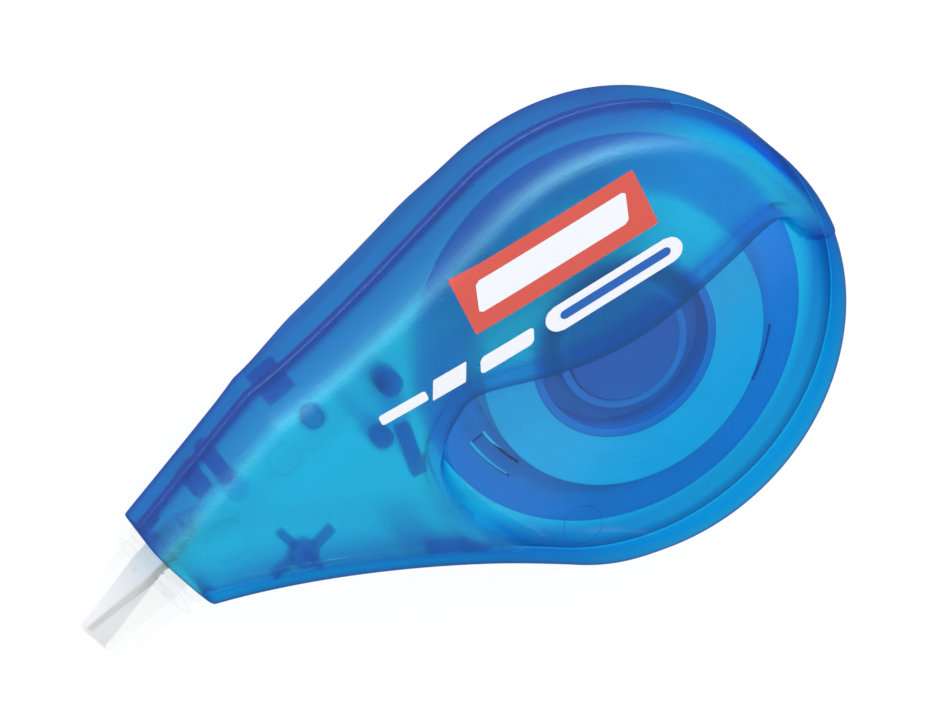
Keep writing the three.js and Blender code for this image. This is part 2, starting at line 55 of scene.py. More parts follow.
# Reels and tape
TAPE_WIDTH = 4.2
RIBBON_THICKNESS = 0.15
RIBBON_GAP = 0.15
ROLL_RADIUS = 17.4
CORE_RADIUS = 11.4
FLANGE_RADIUS = 24.0
DRUM_RADIUS = 20.0
DRUM_THICKNESS = 1.0
FILM_RADIUS = 20.1
FILM_DEPTH = 0.7
FINGER_SLOT = 0.3
FINGER_WIDTH = 1.6
FINGER_TURN = 20.0
FINGER_ANGLES = (188.0, 308.0, 68.0)
FLANGE_EDGE = 0.18
FLANGE_STEPS = 360
FLANGE_RINGS = ((8, 10, 12, 14, 16), (22, 23.2))
CORE_THICKNESS = 1.0
TAPE_SEAT = 0.03
TURN_WANDER = 0.03
SLEEVE_RADIUS = 7.9
CORE_FLOOR = 0.9
SLEEVE_DROP = 0.3
AXLE_RADIUS = 3.4
AXLE_BORE = 1.9
TUBE_BORE = 3.7
TUBE_RADIUS = 5.3
CAP_RIM = 1.56
CAP_MIDDLE = 0.01
CAP_BEVELS = (0.15, 0.2)
CAP_DISH = (0.58, 0.62)
CAP_DISH_DEPTH = 0.12
STEM_RADIUS = 1.6
STEM_LENGTH = 4.0

# Heights of the stack
DRUM_BOTTOM = 1.75
FILM_BOTTOM = 1.85
FLANGE_BOTTOM = 6.15
FLANGE_TOP = 7.05
ROLL_BOTTOM = 7.35
ROLL_TOP = 11.55
TUBE_TOP = 10.9
CAP_BOTTOM = 11.15
CAP_TOP = 11.65
CLUTCH_BOTTOM = 8.7
CLUTCH_TOP = 10.2
CLUTCH_GAP = 0.1
WINDOW_HEIGHT = 13.3
CREST_HEIGHT = 16.5
SEAM_HEIGHT = 7.65
TIP_HEIGHT = 7.0

# Casing
WALL = 1.4
TAIL_RADIUS = 27.7
TAIL_CENTRE = np.array([0.3, 0.4])
STEP_RUN = 0.8
NOSE_DROP = 2.5
NOSE_DROP_END = -8.0
FRONT_EDGE_RISE = 5.0
FRONT_EDGE_RUN = 4.0
CROWN_RUN = 14.0
CROWN_SHARE = 0.12
WINDOW_EDGE = 2.0
BACK_EDGE_TAIL = 3.0
BACK_EDGE_NOSE = 4.4
BACK_EDGE_UPPER = (0.8, 2.3)
BACK_EDGE_SHARP = (-44.0, -30.0, -15.0, -6.0)
BACK_EDGE_END = (8, 24)
UPPER_RUN = 5.0
LEAST_EDGE = 0.12
SEAM_BAND = (1.05, 1.15)
# Painted shade: extra haze that darkens the back shell's upper seam rows
SEAM_SHADE_HAZE = 1.55
SEAM_ROWS = 3
SEAM_GROOVE = 0.22
STEEP_DEPTH = (1.1, 2.6)
LOWER_STEEP_DEPTH = (2.6, 4.4)
# Painted shade on the upper long side fades out toward the tail between these x values
SIDE_SHADE_END = (10, 22)
LOWER_VEIL_START = (-60, -45)
BACK_POLISH = (0.8, 3.0)
LOWER_VEIL = 0.3
LOWER_VEIL_DEPTH = (0.8, 3.2)
SEAM_GAP = 0.02

# Edge of the window: up its soft left end from the lower rim, then along its upper edge to the rim
WINDOW_LINE = (
    (-18.5, -24.5), (-20.3, -17.8), (-22.8, -13.4), (-25.3, -9.3), (-26.7, -5.5), (-27.1, -2.2),
    (-26.6, 0.6), (-25, 3.3), (-21.7, 6.2), (-17.8, 7.3), (-8.8, 4.4), (-1.8, 3),
    (5.2, 3.2), (13.2, 4.75), (20.3, 6.4), (24.4, 5.9), (27.2, 2.6), (28.8, -3),
)
WINDOW_BELOW = ((40, -40), (-10, -40))
SOFT_RUN = 2.2
FADE_RUN = 12.0
SOFT_END_X = (-24, -14)
SOFT_END_Y = (-3, 5)
FADE_LOW_Y = (-25, -13)
FADE_RIGHT_X = (21, 27)
FADE_RIGHT_Y = (-2, 3)

# Outline of the casing, seen from the front
NOSE_CENTRE = np.array([-56.95, 4.9])
NOSE_WIDTH = 12.5
NOSE_TILT = 16.6
NOSE_CORNER = 1.0
LEAST_CORNER = 0.2
SHOULDER_RUN = 19.9
SHOULDER_ANGLE = 22.0
SHOULDER_AFTER = 7.0
SHOULDER_HANDLE = 10.0
TOP_TURN = 106.7
TOP_HANDLE = 9.6
BOTTOM_ANGLE = -18.0
BOTTOM_HANDLE = 13.9
BOTTOM_TURN = 231.3
BOTTOM_TURN_HANDLE = 12.8

# Tip
TIP_REACH = 12.1
TIP_INSIDE = 3.0
WEDGE_ROOT = 2.6
WEDGE_EDGE = 0.5
TAPER_START = 2.5
CHEEK_OUTER = 3.15
CHEEK_ROOT = 4.7
TIP_CLEARANCE = 0.3
OPENING_MOST = 0.999
TIP_BEVEL = 0.16

# Free runs of tape
WRAP_ANGLE = 24.0
TWIST_START = 1.0
TWIST_LENGTH = 8.5
TWIST_STEPS = 36

# Posts inside the casing. Places are x, y; front bosses add radius and depth, ejector marks a radius.
POST_PLACES = ((-46.9, 11.8), (-30, 8.1))
PIN_POST_RADIUS = 1.0
SOCKET_RADIUS = 1.4
SOCKET_HEIGHT = 9.6
BOSS_PLACE = (-35.6, 15.0)
BOSS_RADIUS = 1.3
BOSS_RING = 1.75
BOSS_DEPTH = 1.8
CROSS_PLACE = (-43.8, -0.1)
CROSS_RADIUS = 1.65
CROSS_REACH = 4.4
CROSS_RIB = 1.0
CROSS_RIB_START = 0.9
CROSS_RIB_DROP = 0.3
CROSS_DEPTH = 2.2
CROSS_RIB_DEPTH = 1.2
SNAP_THICKNESS = 1.3
SNAPS = (
    {"side": 1, "x": (-51.1, -49.0), "inset": 1.5, "heights": (4.5, 10.8)},
    {"side": 1, "x": (-38.8, -35.1), "inset": 1.8, "heights": (2.0, 8.8)},
    {"side": -1, "x": (-31.0, -26.9), "inset": 2.7, "heights": (10.8, 12.6)},
    {"side": -1, "x": (-27.2, -24.6), "inset": 2.3, "heights": (11.2, 12.2)},
)
FRONT_RIB = {"from": (-27.3, 8.3), "to": (-28.1, 1.9), "thickness": 1.7, "depth": 1.8}
FRONT_BOSSES = ((-26.3, 13.9, 1.45, 3.2), (-29.9, 8.3, 1.2, 2.4))
LIP_INSETS = (0.04, 0.9)
LIP_HEIGHTS = (6.55, 7.5)
LIP_END = 18.0
EJECTOR_MARKS = ((-50.6, 6.7, 2.5), (-40.7, 12.1, 1.9), (-13.8, -17.5, 2.4))
MARK_WIDTH = 0.14
MARK_DEPTH = 0.1
GUIDE_RADIUS = 26.6
GUIDE_WALL = 1.4
GUIDE_FROM = 160.0
GUIDE_TO = 178.0
GUIDE_POST_RADIUS = 1.4
GUIDE_POST_TOP = 8.8
RIB_START = 24.6
RIB_LENGTH = 4.3
RIB_THICKNESS = 1.2
RIB_OFFSET = 1.6
PIN_PLACE = 31.7
PIN_RADIUS = 0.7
PIN_SLACK = 0.4
COVER_GAP = 0.3

# Mesh fineness: counts of points, and shares of the way across the casing for the window's step
CORNER_POINTS = 9
STRAIGHT_POINTS = 20
CURVE_POINTS = 160
LINE_POINTS = 240
LONG_EDGE_POINTS = 200
WINDOW_POINT_STEPS = 24
CORNER_SHARE = 0.03
CORNER_COLUMNS = 12
EDGE_MARGIN = 1.15
LEAST_SLOPE = 0.5
SPLIT_LIMITS = (0.12, 0.88)
STEP_ROOM = 1.6
STEP_MOST = 0.1
STEP_ABOVE = 0.3
WRAP_STEPS = 12
TURN_STEPS = 4
COLUMNS = 260
EDGE_STEPS = 10
MIDDLE_STEPS = 22
STEP_STEPS = 10
ROUND_STEPS = 192
SMALL_ROUND_STEPS = 64
COVER_STEPS = 6
GUIDE_STEPS = 14
TINY = 1e-6


def turn(degrees):
    return np.array([math.cos(math.radians(degrees)), math.sin(math.radians(degrees))])


NOSE_AXIS = turn(NOSE_TILT + 180)
NOSE_ACROSS = np.array([NOSE_AXIS[1], -NOSE_AXIS[0]])


def smoothstep(x, low, high):
    share = np.clip((x - low) / (high - low), 0, 1)
    return share * share * (3 - 2 * share)


def quarter(share):
    rest = 1 - np.clip(share, 0, 1)
    return np.sqrt(1 - rest * rest)


def nose_corner(side, angle, inset, depth):
    """Where a long edge, drawn in by inset, meets the nose plane moved in by depth."""
    slant = math.radians(side * (angle - NOSE_TILT))
    half = NOSE_WIDTH / 2 + depth * math.tan(slant) - inset / math.cos(slant)
    return NOSE_CENTRE - NOSE_AXIS * depth + NOSE_ACROSS * side * half


def bezier(a, b, c, d, count):
    t = np.linspace(0, 1, count)[:, None]
    return (1 - t) ** 3 * a + 3 * (1 - t) ** 2 * t * b + 3 * (1 - t) * t * t * c + t**3 * d


def bend(start, corner, end, count):
    """A short curve that rounds a corner."""
    t = np.linspace(0, 1, count)[:, None]
    return (1 - t) ** 2 * start + 2 * (1 - t) * t * corner + t * t * end


def edge_path(side, inset, depth):
    """One long edge of the outline, from the nose to the end of the tail, as a dense polyline."""
    upper = side > 0
    angle = SHOULDER_ANGLE if upper else BOTTOM_ANGLE
    corner = nose_corner(side, angle, inset, depth)
    rounding = max(NOSE_CORNER - inset, LEAST_CORNER)
    after = corner + turn(angle) * rounding
    begin = after
    parts = [bend(corner - NOSE_ACROSS * side * rounding, corner, after, CORNER_POINTS)]
    if upper:
        inward = turn((SHOULDER_ANGLE + SHOULDER_AFTER) / 2 - 90) * inset
        begin = nose_corner(side, angle, 0, 0) + turn(angle) * SHOULDER_RUN + inward
        parts.append(np.linspace(after, begin, STRAIGHT_POINTS))
    tail_turn = TOP_TURN if upper else BOTTOM_TURN
    handle = TOP_HANDLE if upper else BOTTOM_TURN_HANDLE
    radius = TAIL_RADIUS - inset
    end = TAIL_CENTRE + turn(tail_turn) * radius
    leaving = turn(SHOULDER_AFTER) * SHOULDER_HANDLE if upper else turn(angle) * BOTTOM_HANDLE
    arriving = turn(tail_turn + side * 90) * handle
    parts.append(bezier(begin, begin + leaving, end + arriving, end, CURVE_POINTS))
    angles = np.radians(np.linspace(tail_turn, 0 if upper else 360, CURVE_POINTS))
    parts.append(TAIL_CENTRE + radius * np.stack([np.cos(angles), np.sin(angles)], 1))
    points = np.concatenate(parts)
    keep = np.r_[True, np.linalg.norm(np.diff(points, axis=0), axis=1) > TINY]
    return points[keep]


def at_shares(points, shares):
    length = np.r_[0, np.cumsum(np.linalg.norm(np.diff(points, axis=0), axis=1))]
    places = np.asarray(shares) * length[-1]
    return np.stack([np.interp(places, length, points[:, k]) for k in (0, 1)], 1)


def distance_to(lines, x, y):
    """Distance of many points from a set of polylines."""
    least = np.full(x.shape, np.inf)
    for points in lines:
        for a, b in zip(points[:-1], points[1:]):
            span = b - a
            share = np.clip(((x - a[0]) * span[0] + (y - a[1]) * span[1]) / (span @ span), 0, 1)
            least = np.minimum(least, np.hypot(a[0] + span[0] * share - x, a[1] + span[1] * share - y))
    return least


def window_curve():
    """The window's edge: a smooth curve through the points of WINDOW_LINE."""
    p = np.array(WINDOW_LINE, float)
    out = []
    for i in range(len(p) - 1):
        a, b, c, d = p[max(i - 1, 0)], p[i], p[i + 1], p[min(i + 2, len(p) - 1)]
        t = np.linspace(0, 1, WINDOW_POINT_STEPS, endpoint=i == len(p) - 2)[:, None]
        v0, v1 = (c - a) / 2, (d - b) / 2
        out.append((2 * b - 2 * c + v0 + v1) * t**3 + (-3 * b + 3 * c - 2 * v0 - v1) * t**2 + v0 * t + b)
    return np.concatenate(out)


WINDOW_POINTS = window_curve()
LINES = {
    inset: [at_shares(edge_path(side, inset, inset), np.linspace(0, 1, LINE_POINTS)) for side in (1, -1)]
    for inset in (0, WALL)
}


def inside_window(x, y):
    """Whether places lie within the window, by counting the edges that a line to the right crosses."""
    corners = np.concatenate([WINDOW_POINTS, WINDOW_BELOW])
    inside = np.zeros(x.shape, bool)
    for a, b in zip(corners, np.roll(corners, -1, 0)):
        if a[1] != b[1]:
            reach = a[0] + (y - a[1]) * (b[0] - a[0]) / (b[1] - a[1])
            inside ^= ((a[1] > y) != (b[1] > y)) & (x < reach)
    return inside


def window_top(x, inset):
    upper = WINDOW_POINTS[np.argmin(WINDOW_POINTS[:, 0]):]
    return np.interp(x, upper[:, 0], upper[:, 1]) + inset


def window_share(x, y, inset):
    """1 on the floor of the window, 0 on the raised part. The left end falls off more softly."""
    away = distance_to([WINDOW_POINTS], x, y)
    depth = np.where(inside_window(x, y), away, -away) + inset
    soft = (1 - smoothstep(x, *SOFT_END_X)) * (1 - smoothstep(y, *SOFT_END_Y))
    right = smoothstep(x, *FADE_RIGHT_X) * smoothstep(y, *FADE_RIGHT_Y)
    fade = np.maximum(1 - smoothstep(y, *FADE_LOW_Y), right)
    return smoothstep(depth / (STEP_RUN + SOFT_RUN * soft + FADE_RUN * fade), 0, 1)


def front_height(x, y, distance, inset):
    nose = 1 - smoothstep(x, NOSE_CENTRE[0], NOSE_DROP_END)
    top = CREST_HEIGHT - NOSE_DROP * nose - inset
    rounding = quarter(distance / (FRONT_EDGE_RUN - inset)) * (1 - CROWN_SHARE)
    crown = quarter(distance / CROWN_RUN) * CROWN_SHARE
    raised = top - (FRONT_EDGE_RISE - inset) * (1 - rounding - crown)
    edge = WINDOW_EDGE - inset
    lowered = WINDOW_HEIGHT - inset - edge * (1 - quarter(distance / edge))
    return raised + (np.minimum(lowered, raised) - raised) * window_share(x, y, inset)


def back_height(x, y, distance, inset):
    tail = smoothstep(x, NOSE_CENTRE[0], 0)
    edge = BACK_EDGE_NOSE + (BACK_EDGE_TAIL - BACK_EDGE_NOSE) * tail
    middle = TAIL_CENTRE[1] + (NOSE_CENTRE[1] - TAIL_CENTRE[1]) * np.clip(x / NOSE_CENTRE[0], 0, 1)
    upper = smoothstep(y - middle, 0, UPPER_RUN)
    start, full, fade, end = BACK_EDGE_SHARP
    begun = smoothstep(x, start, full)
    sharp = begun * (1 - smoothstep(x, fade, end))
    small = BACK_EDGE_UPPER[1] + (BACK_EDGE_UPPER[0] - BACK_EDGE_UPPER[1]) * sharp
    small = small + (edge - small) * np.maximum(1 - begun, smoothstep(x, *BACK_EDGE_END))
    edge = np.maximum(edge + (small - edge) * upper - inset, LEAST_EDGE)
    return inset + edge * (1 - quarter(distance / edge))


def height_at(x, y, inset=0.0, front=True):
    x, y = np.atleast_1d(np.asarray(x, float)), np.atleast_1d(np.asarray(y, float))
    distance = distance_to(LINES[inset], x, y)
    return (front_height if front else back_height)(x, y, distance, inset)


def row_depths(inset, front):
    """How far in from the outline the rows of the rounded edge lie."""
    run = (FRONT_EDGE_RUN if front else BACK_EDGE_TAIL) - inset
    sweep = np.linspace(0, math.pi / 2, EDGE_STEPS + 1)
    return [*(run * (1 - np.cos(sweep))), run * EDGE_MARGIN]


def half_shell_grid(inset, front):
    """One surface of a half shell as columns of points across the casing, from seam to seam."""
    corner = np.linspace(0, CORNER_SHARE, CORNER_COLUMNS)
    shares = np.r_[corner[:-1], np.linspace(CORNER_SHARE, 1, COLUMNS)]
    sign = 1 if front else -1
    height = front_height if front else back_height
    groove = SEAM_GROOVE if inset == 0 else 0
    upright = [(groove, SEAM_GAP / 2), *((0, drop) for drop in (SEAM_GROOVE, *SEAM_BAND))]
    rows = {1: [], -1: []}
    for side in (1, -1):
        for sunk, drop in upright:
            line = at_shares(edge_path(side, inset + sunk, inset), shares)
            rows[side].append(np.c_[line, np.full(len(line), SEAM_HEIGHT + sign * drop)])
        for depth in row_depths(inset, front):
            line = at_shares(edge_path(side, inset + depth, inset), shares)
            z = height(line[:, 0], line[:, 1], np.full(len(line), float(depth)), inset)
            rows[side].append(np.c_[line, z])
    low, high = rows[-1][-1][:, :2], rows[1][-1][:, :2]
    span = high - low
    length = np.maximum(np.linalg.norm(span, axis=1), TINY)
    slope = np.maximum(span[:, 1] / length, LEAST_SLOPE)
    split = window_top((low[:, 0] + high[:, 0]) / 2, inset) - low[:, 1]
    split = np.clip(split / slope / length, *SPLIT_LIMITS)
    width = np.minimum(STEP_RUN * STEP_ROOM / length, STEP_MOST)
    ends = (0 * split, split - width, split + STEP_ABOVE * width, 0 * split + 1)
    runs = zip(ends[:-1], ends[1:], (MIDDLE_STEPS, STEP_STEPS, MIDDLE_STEPS))
    parts = [a + (b - a) * np.linspace(0, 1, steps)[1:, None] for a, b, steps in runs]
    middle = []
    for share in np.concatenate(parts)[:-1]:
        point = low + span * share[:, None]
        distance = distance_to(LINES[inset], point[:, 0], point[:, 1])
        middle.append(np.c_[point, height(point[:, 0], point[:, 1], distance, inset)])
    return np.array(rows[-1] + middle + rows[1][::-1])


def nose_frame(points):
    """(across, outward) of points in the nose's own directions."""
    away = points[..., :2] - NOSE_CENTRE
    return away @ NOSE_ACROSS, away @ NOSE_AXIS


def opening_path(ring):
    """Points of the tip's opening that face the points of a nose section."""
    across, outward = nose_frame(ring)
    half, tall = CHEEK_OUTER + TIP_CLEARANCE, CHEEK_ROOT + TIP_CLEARANCE
    rise, lift = ring[:, 2] - SEAM_HEIGHT, TIP_HEIGHT - SEAM_HEIGHT
    high = np.where(rise > 0, tall + lift, tall - lift)
    reach = np.minimum(half / np.maximum(np.abs(across), TINY), high / np.maximum(np.abs(rise), TINY))
    reach = np.minimum(reach, OPENING_MOST)
    place = NOSE_CENTRE + NOSE_ACROSS * (across * reach)[:, None] + NOSE_AXIS * outward[:, None]
    return np.c_[place, SEAM_HEIGHT + rise * reach]


def woven(rows, columns, round_rows=False, round_columns=False, start=0):
    """Quads over a grid of points numbered row by row; a round grid joins its last line to its first."""
    faces = []
    for j in range(rows if round_rows else rows - 1):
        here, there = start + j * columns, start + (j + 1) % rows * columns
        for i in range(columns if round_columns else columns - 1):
            k = (i + 1) % columns
            faces.append((here + i, here + k, there + k, there + i))
    return faces


def make_mesh(name, vertices, faces, values=None, smooth_angle=32.0, merge=0.0008):
    """A mesh object in metres with faces turned outward and edges over smooth_angle kept sharp."""
    mesh = bpy.data.meshes.new(name)
    mesh.from_pydata((np.asarray(vertices, float) * MM).tolist(), [], [list(map(int, f)) for f in faces])
    for key, numbers in (values or {}).items():
        mesh.attributes.new(key, "FLOAT", "POINT").data.foreach_set("value", np.asarray(numbers, np.float32))
    bm = bmesh.new()
    bm.from_mesh(mesh)
    bmesh.ops.remove_doubles(bm, verts=bm.verts, dist=merge * MM)
    bmesh.ops.dissolve_degenerate(bm, edges=bm.edges, dist=merge * MM)
    bmesh.ops.recalc_face_normals(bm, faces=bm.faces)
    finish_bmesh(bm, mesh, smooth_angle)
    return link(name, mesh)


def finish_bmesh(bm, mesh, smooth_angle):
    limit = math.radians(smooth_angle)
    for face in bm.faces:
        face.smooth = True
    for edge in bm.edges:
        edge.smooth = len(edge.link_faces) == 2 and edge.calc_face_angle(math.pi) < limit
    bm.to_mesh(mesh)
    bm.free()


def link(name, data):
    made = bpy.data.objects.new(name, data)
    bpy.context.scene.collection.objects.link(made)
    return made


def window_parts(grid, inset):
    """How much each place belongs to the window's floor, and how much to the step around it."""
    share = window_share(grid[..., 0].ravel(), grid[..., 1].ravel(), inset).reshape(grid.shape[:2])
    return share, 4 * share * (1 - share)


def shell_values(outer, inner, front):
    """What the casing's plastic reads at each point of a half shell."""
    rows, columns = outer.shape[:2]
    if front:
        share, outer_step = window_parts(outer, 0)
        inner_step = window_parts(inner, WALL)[1]
        polish = share * (outer[..., 2] > SEAM_HEIGHT + 2 * SEAM_GROOVE)
    else:
        polish, outer_step, inner_step = 1 - smoothstep(outer[..., 2], *BACK_POLISH), 0, 0
    depths = np.array([0] * (SEAM_ROWS + 1) + row_depths(0, front))
    count = len(depths)
    side = 1 - smoothstep(depths, *STEEP_DEPTH)
    steep = np.zeros((rows, columns))
    steep[:count] = 1 - smoothstep(depths, *LOWER_STEEP_DEPTH)[:, None]
    steep[-count:] = side[::-1, None]
    steep = [np.maximum(steep, step).ravel() for step in (outer_step, inner_step)]
    # Extra haze: painted shade on the upper long side, from the seam up the rounded edge, fading toward the
    # tail and stronger on the back shell's seam rows; plain extra haze along the lower edge
    haze_and_shade = np.zeros((rows, columns))
    haze_and_shade[-count:] = side[::-1, None] * (1 - smoothstep(outer[-count:, :, 0], *SIDE_SHADE_END))
    if not front:
        haze_and_shade[-SEAM_ROWS:] *= SEAM_SHADE_HAZE
    below = LOWER_VEIL * (1 - smoothstep(depths, *LOWER_VEIL_DEPTH))[:, None]
    haze_and_shade[:count] = below * smoothstep(outer[:count, :, 0], *LOWER_VEIL_START)
    opening, none, size = np.ones(rows), np.zeros(rows), rows * columns
    return {
        "polish": np.r_[polish.ravel(), polish.ravel(), none, none],
        "skin": np.r_[np.ones(size), np.zeros(size), opening, none],
        "steep": np.r_[steep[0], steep[1], opening, opening],
        "haze_and_shade": np.r_[haze_and_shade.ravel(), haze_and_shade.ravel(), none, none],
    }


def half_shell(name, front):
    """A closed half shell with its wall, seam rim and nose opening."""
    outer, inner = half_shell_grid(0, front), half_shell_grid(WALL, front)
    rows, columns = outer.shape[:2]
    size = rows * columns
    faces = woven(rows, columns) + woven(rows, columns, start=size)
    for rim in (0, size - columns):
        faces += [(rim + i, rim + i + 1, size + rim + i + 1, size + rim + i) for i in range(columns - 1)]
    nose, opening = np.arange(rows) * columns, 2 * size + np.arange(rows)
    rings = [nose, opening, opening + rows, size + nose]
    for a, b in zip(rings[:-1], rings[1:]):
        faces += [(a[j], a[j + 1], b[j + 1], b[j]) for j in range(rows - 1)]
    faces += [tuple(ring[j] for ring in rings) for j in (0, rows - 1)]
    vertices = [outer.reshape(-1, 3), inner.reshape(-1, 3)]
    vertices += [opening_path(outer[:, 0]), opening_path(inner[:, 0])]
    return make_mesh(name, np.concatenate(vertices), faces, shell_values(outer, inner, front))


def circle(x, y, radius, steps=40):
    angles = np.linspace(0, 2 * math.pi, steps, endpoint=False)
    return np.c_[x + radius * np.cos(angles), y + radius * np.sin(angles)]


def lathe(name, profile, steps=ROUND_STEPS, smooth_angle=32.0):
    """A closed (radius, height) profile turned about the reel axis."""
    vertices = [[r * c, r * s, z] for c, s in circle(0, 0, 1, steps) for r, z in profile]
    return make_mesh(name, vertices, woven(steps, len(profile), True, True), smooth_angle=smooth_angle)


def band(name, inner, outer, low, high, corner, corner_steps=3, steps=ROUND_STEPS):
    """A plain ring round the reel axis."""
    profile = [(inner, low), (outer, low), (outer, high), (inner, high)]
    return lathe(name, rounded(profile, corner, corner_steps), steps)


def rounded(profile, radius, steps=3):
    """A closed profile with each corner rounded by a short curve."""
    p = np.asarray(profile, float)
    out = []
    for i in range(len(p)):
        before, here, after = p[i - 1], p[i], p[(i + 1) % len(p)]
        a, b = before - here, after - here
        la, lb = np.linalg.norm(a), np.linalg.norm(b)
        cut = min(radius, la * 0.45, lb * 0.45)
        out.append(bend(here + a / la * cut, here, here + b / lb * cut, steps + 1))
    return np.concatenate(out)


def extruded(outline, low, high, bevel=0.12):
    """Vertices and faces of a prism with softened top and bottom edges."""
    outline = np.asarray(outline, float)
    centre = outline.mean(0)
    reach = np.linalg.norm(outline - centre, axis=1, keepdims=True)
    inner = centre + (outline - centre) * (1 - bevel / np.maximum(reach, bevel * 2))
    rings = [(inner, low), (outline, low + bevel), (outline, high - bevel), (inner, high)]
    n = len(outline)
    vertices = np.concatenate([np.c_[p, np.full(n, z)] for p, z in rings])
    faces = [tuple(range(n))[::-1], tuple(range(3 * n, 4 * n))]
    return vertices, faces + woven(4, n, round_columns=True)


def peg(place, radius, low, high):
    return extruded(circle(*place, radius), low, high)


def gather(name, solids):
    """Several prisms as one object."""
    vertices, faces, start = [], [], 0
    for points, quads in solids:
        vertices.append(points)
        faces += [tuple(start + i for i in face) for face in quads]
        start += len(points)
    return make_mesh(name, np.concatenate(vertices), faces)


# Materials

BLEND_SOCKETS = (0, 6, 7)
BLEND_RESULT = 2


def material(name):
    made = bpy.data.materials.new(name)
    made.use_nodes = True
    tree = made.node_tree
    tree.nodes.clear()
    return made, tree


def put(tree, target, name, value):
    """Sets a socket, or links another node's socket to it."""
    socket = target.inputs[name]
    if hasattr(value, "is_output"):
        tree.links.new(value, socket)
    elif hasattr(value, "__len__") and len(value) == 3 and len(socket.default_value) == 4:
        socket.default_value = (*value, 1)
    else:
        socket.default_value = value


def node(tree, kind, *numbered, operation=None, **named):
    """The first output of a new shader node whose sockets, by number or name, are set or linked."""
    made = tree.nodes.new("ShaderNode" + kind)
    if operation:
        made.operation = operation
    for number, value in enumerate(numbered):
        put(tree, made, number, value)
    for name, value in named.items():
        put(tree, made, name.replace("_", " "), value)
    return made.outputs[0]


def srgb(*colour):
    parts = [part / 255 for part in colour]
    return tuple(p / 12.92 if p <= 0.04045 else ((p + 0.055) / 1.055) ** 2.4 for p in parts)


def noise(tree, size, detail=2.0, rough=0.5):
    """Noise whose grain is size millimetres of the object."""
    place = tree.nodes.new("ShaderNodeTexCoord").outputs["Object"]
    return node(tree, "TexNoise", Vector=place, Scale=1 / (size * MM), Detail=detail, Roughness=rough)


def bump(tree, height, strength, distance):
    """A normal for dents that are distance millimetres deep."""
    return node(tree, "Bump", Height=height, Strength=strength, Distance=distance * MM)


def spread(tree, fac, low, high):
    """Maps a 0 to 1 value to the range low to high."""
    return node(tree, "MapRange", Value=fac, To_Min=low, To_Max=high)


def blend(tree, share, first, second):
    """A colour between two others. The mix node has its colour sockets after those for numbers."""
    made = tree.nodes.new("ShaderNodeMix")
    made.data_type = "RGBA"
    for number, value in zip(BLEND_SOCKETS, (share, first, second)):
        put(tree, made, number, value)
    return made.outputs[BLEND_RESULT]


def mix(tree, share, first, second):
    return node(tree, "MixShader", share, first, second)


def output(tree, surface, volume=None):
    made = tree.nodes.new("ShaderNodeOutputMaterial")
    tree.links.new(surface, made.inputs["Surface"])
    if volume is not None:
        tree.links.new(volume, made.inputs["Volume"])


# Share of red, green and blue light that the pigment in one wall and each of its skins lets through
WALL_PASSES = (0.19, 0.85, 0.992)
SKIN_TINT = (0.58, 0.975, 1.0)
WINDOW_TINT = (0.58, 0.86, 0.95)
DENSITY = -math.log(WALL_PASSES[0]) / (WALL * MM)
PIGMENT = tuple(1 - math.log(value) / math.log(WALL_PASSES[0]) for value in WALL_PASSES)

# Haze, gloss and blur of the casing's plastic, with its painted shade
# Painted shade: toward grazing edges the outer skin's colour turns to this dark blue, standing in for light
# lost at the edges by refraction
EDGE_SHADE_BLUE = (0.05, 0.15, 0.5)
EDGE_POWER = 2.2
EDGE_HAZE = 0.4
WHITE = (1.0, 1.0, 1.0)
PLASTIC_IOR = 1.2
HAZE_BLUE = srgb(80, 98, 184)
GLOW_BLUE = srgb(112, 130, 212)
# Haze added by the mesh's extra-haze attribute; on the upper long side it is painted shade
HAZE_AND_SHADE_AMOUNT = 0.58
STEEP_MATT = 0.75
# Colour of the posts' haze; on the darker copy of the post plastic it is painted shade
POST_SHADE_BLUE = srgb(70, 90, 190)
SHINE_TINT = (0.36, 0.92, 1.0)
FROST_SHINE = 0.2
BLUR = 0.92

# Each pair is for frosted and polished faces
HAZE = (0.075, 0.015)
COAT_ROUGHNESS = (0.24, 0.07)
COAT = (0.8, 0.9)

# Reflection, grain and the spread of the light that comes through
FACE_ON = 0.05
GRAIN_SIZE = 0.24
GRAIN_DEPTH = 0.09
GRAIN_STRENGTH = (0.8, 0.004)
BLUR_ROUGHNESS = (-0.45, 0.6)
LEAST_ROUGHNESS = 0.02
GLOW_SHARE = 0.65
CLOUD_SIZE = 9.0
FINE_DENTS = 0.03


def scaled(tree, value, factor, add=0.0):
    """value times factor plus add, each a number or another node's socket."""
    return node(tree, "Math", value, factor, add, operation="MULTIPLY_ADD")


def powered(tree, value, power):
    return node(tree, "Math", value, power, operation="POWER")


def attribute(tree, name):
    made = tree.nodes.new("ShaderNodeAttribute")
    made.attribute_name = name
    return made.outputs["Fac"]


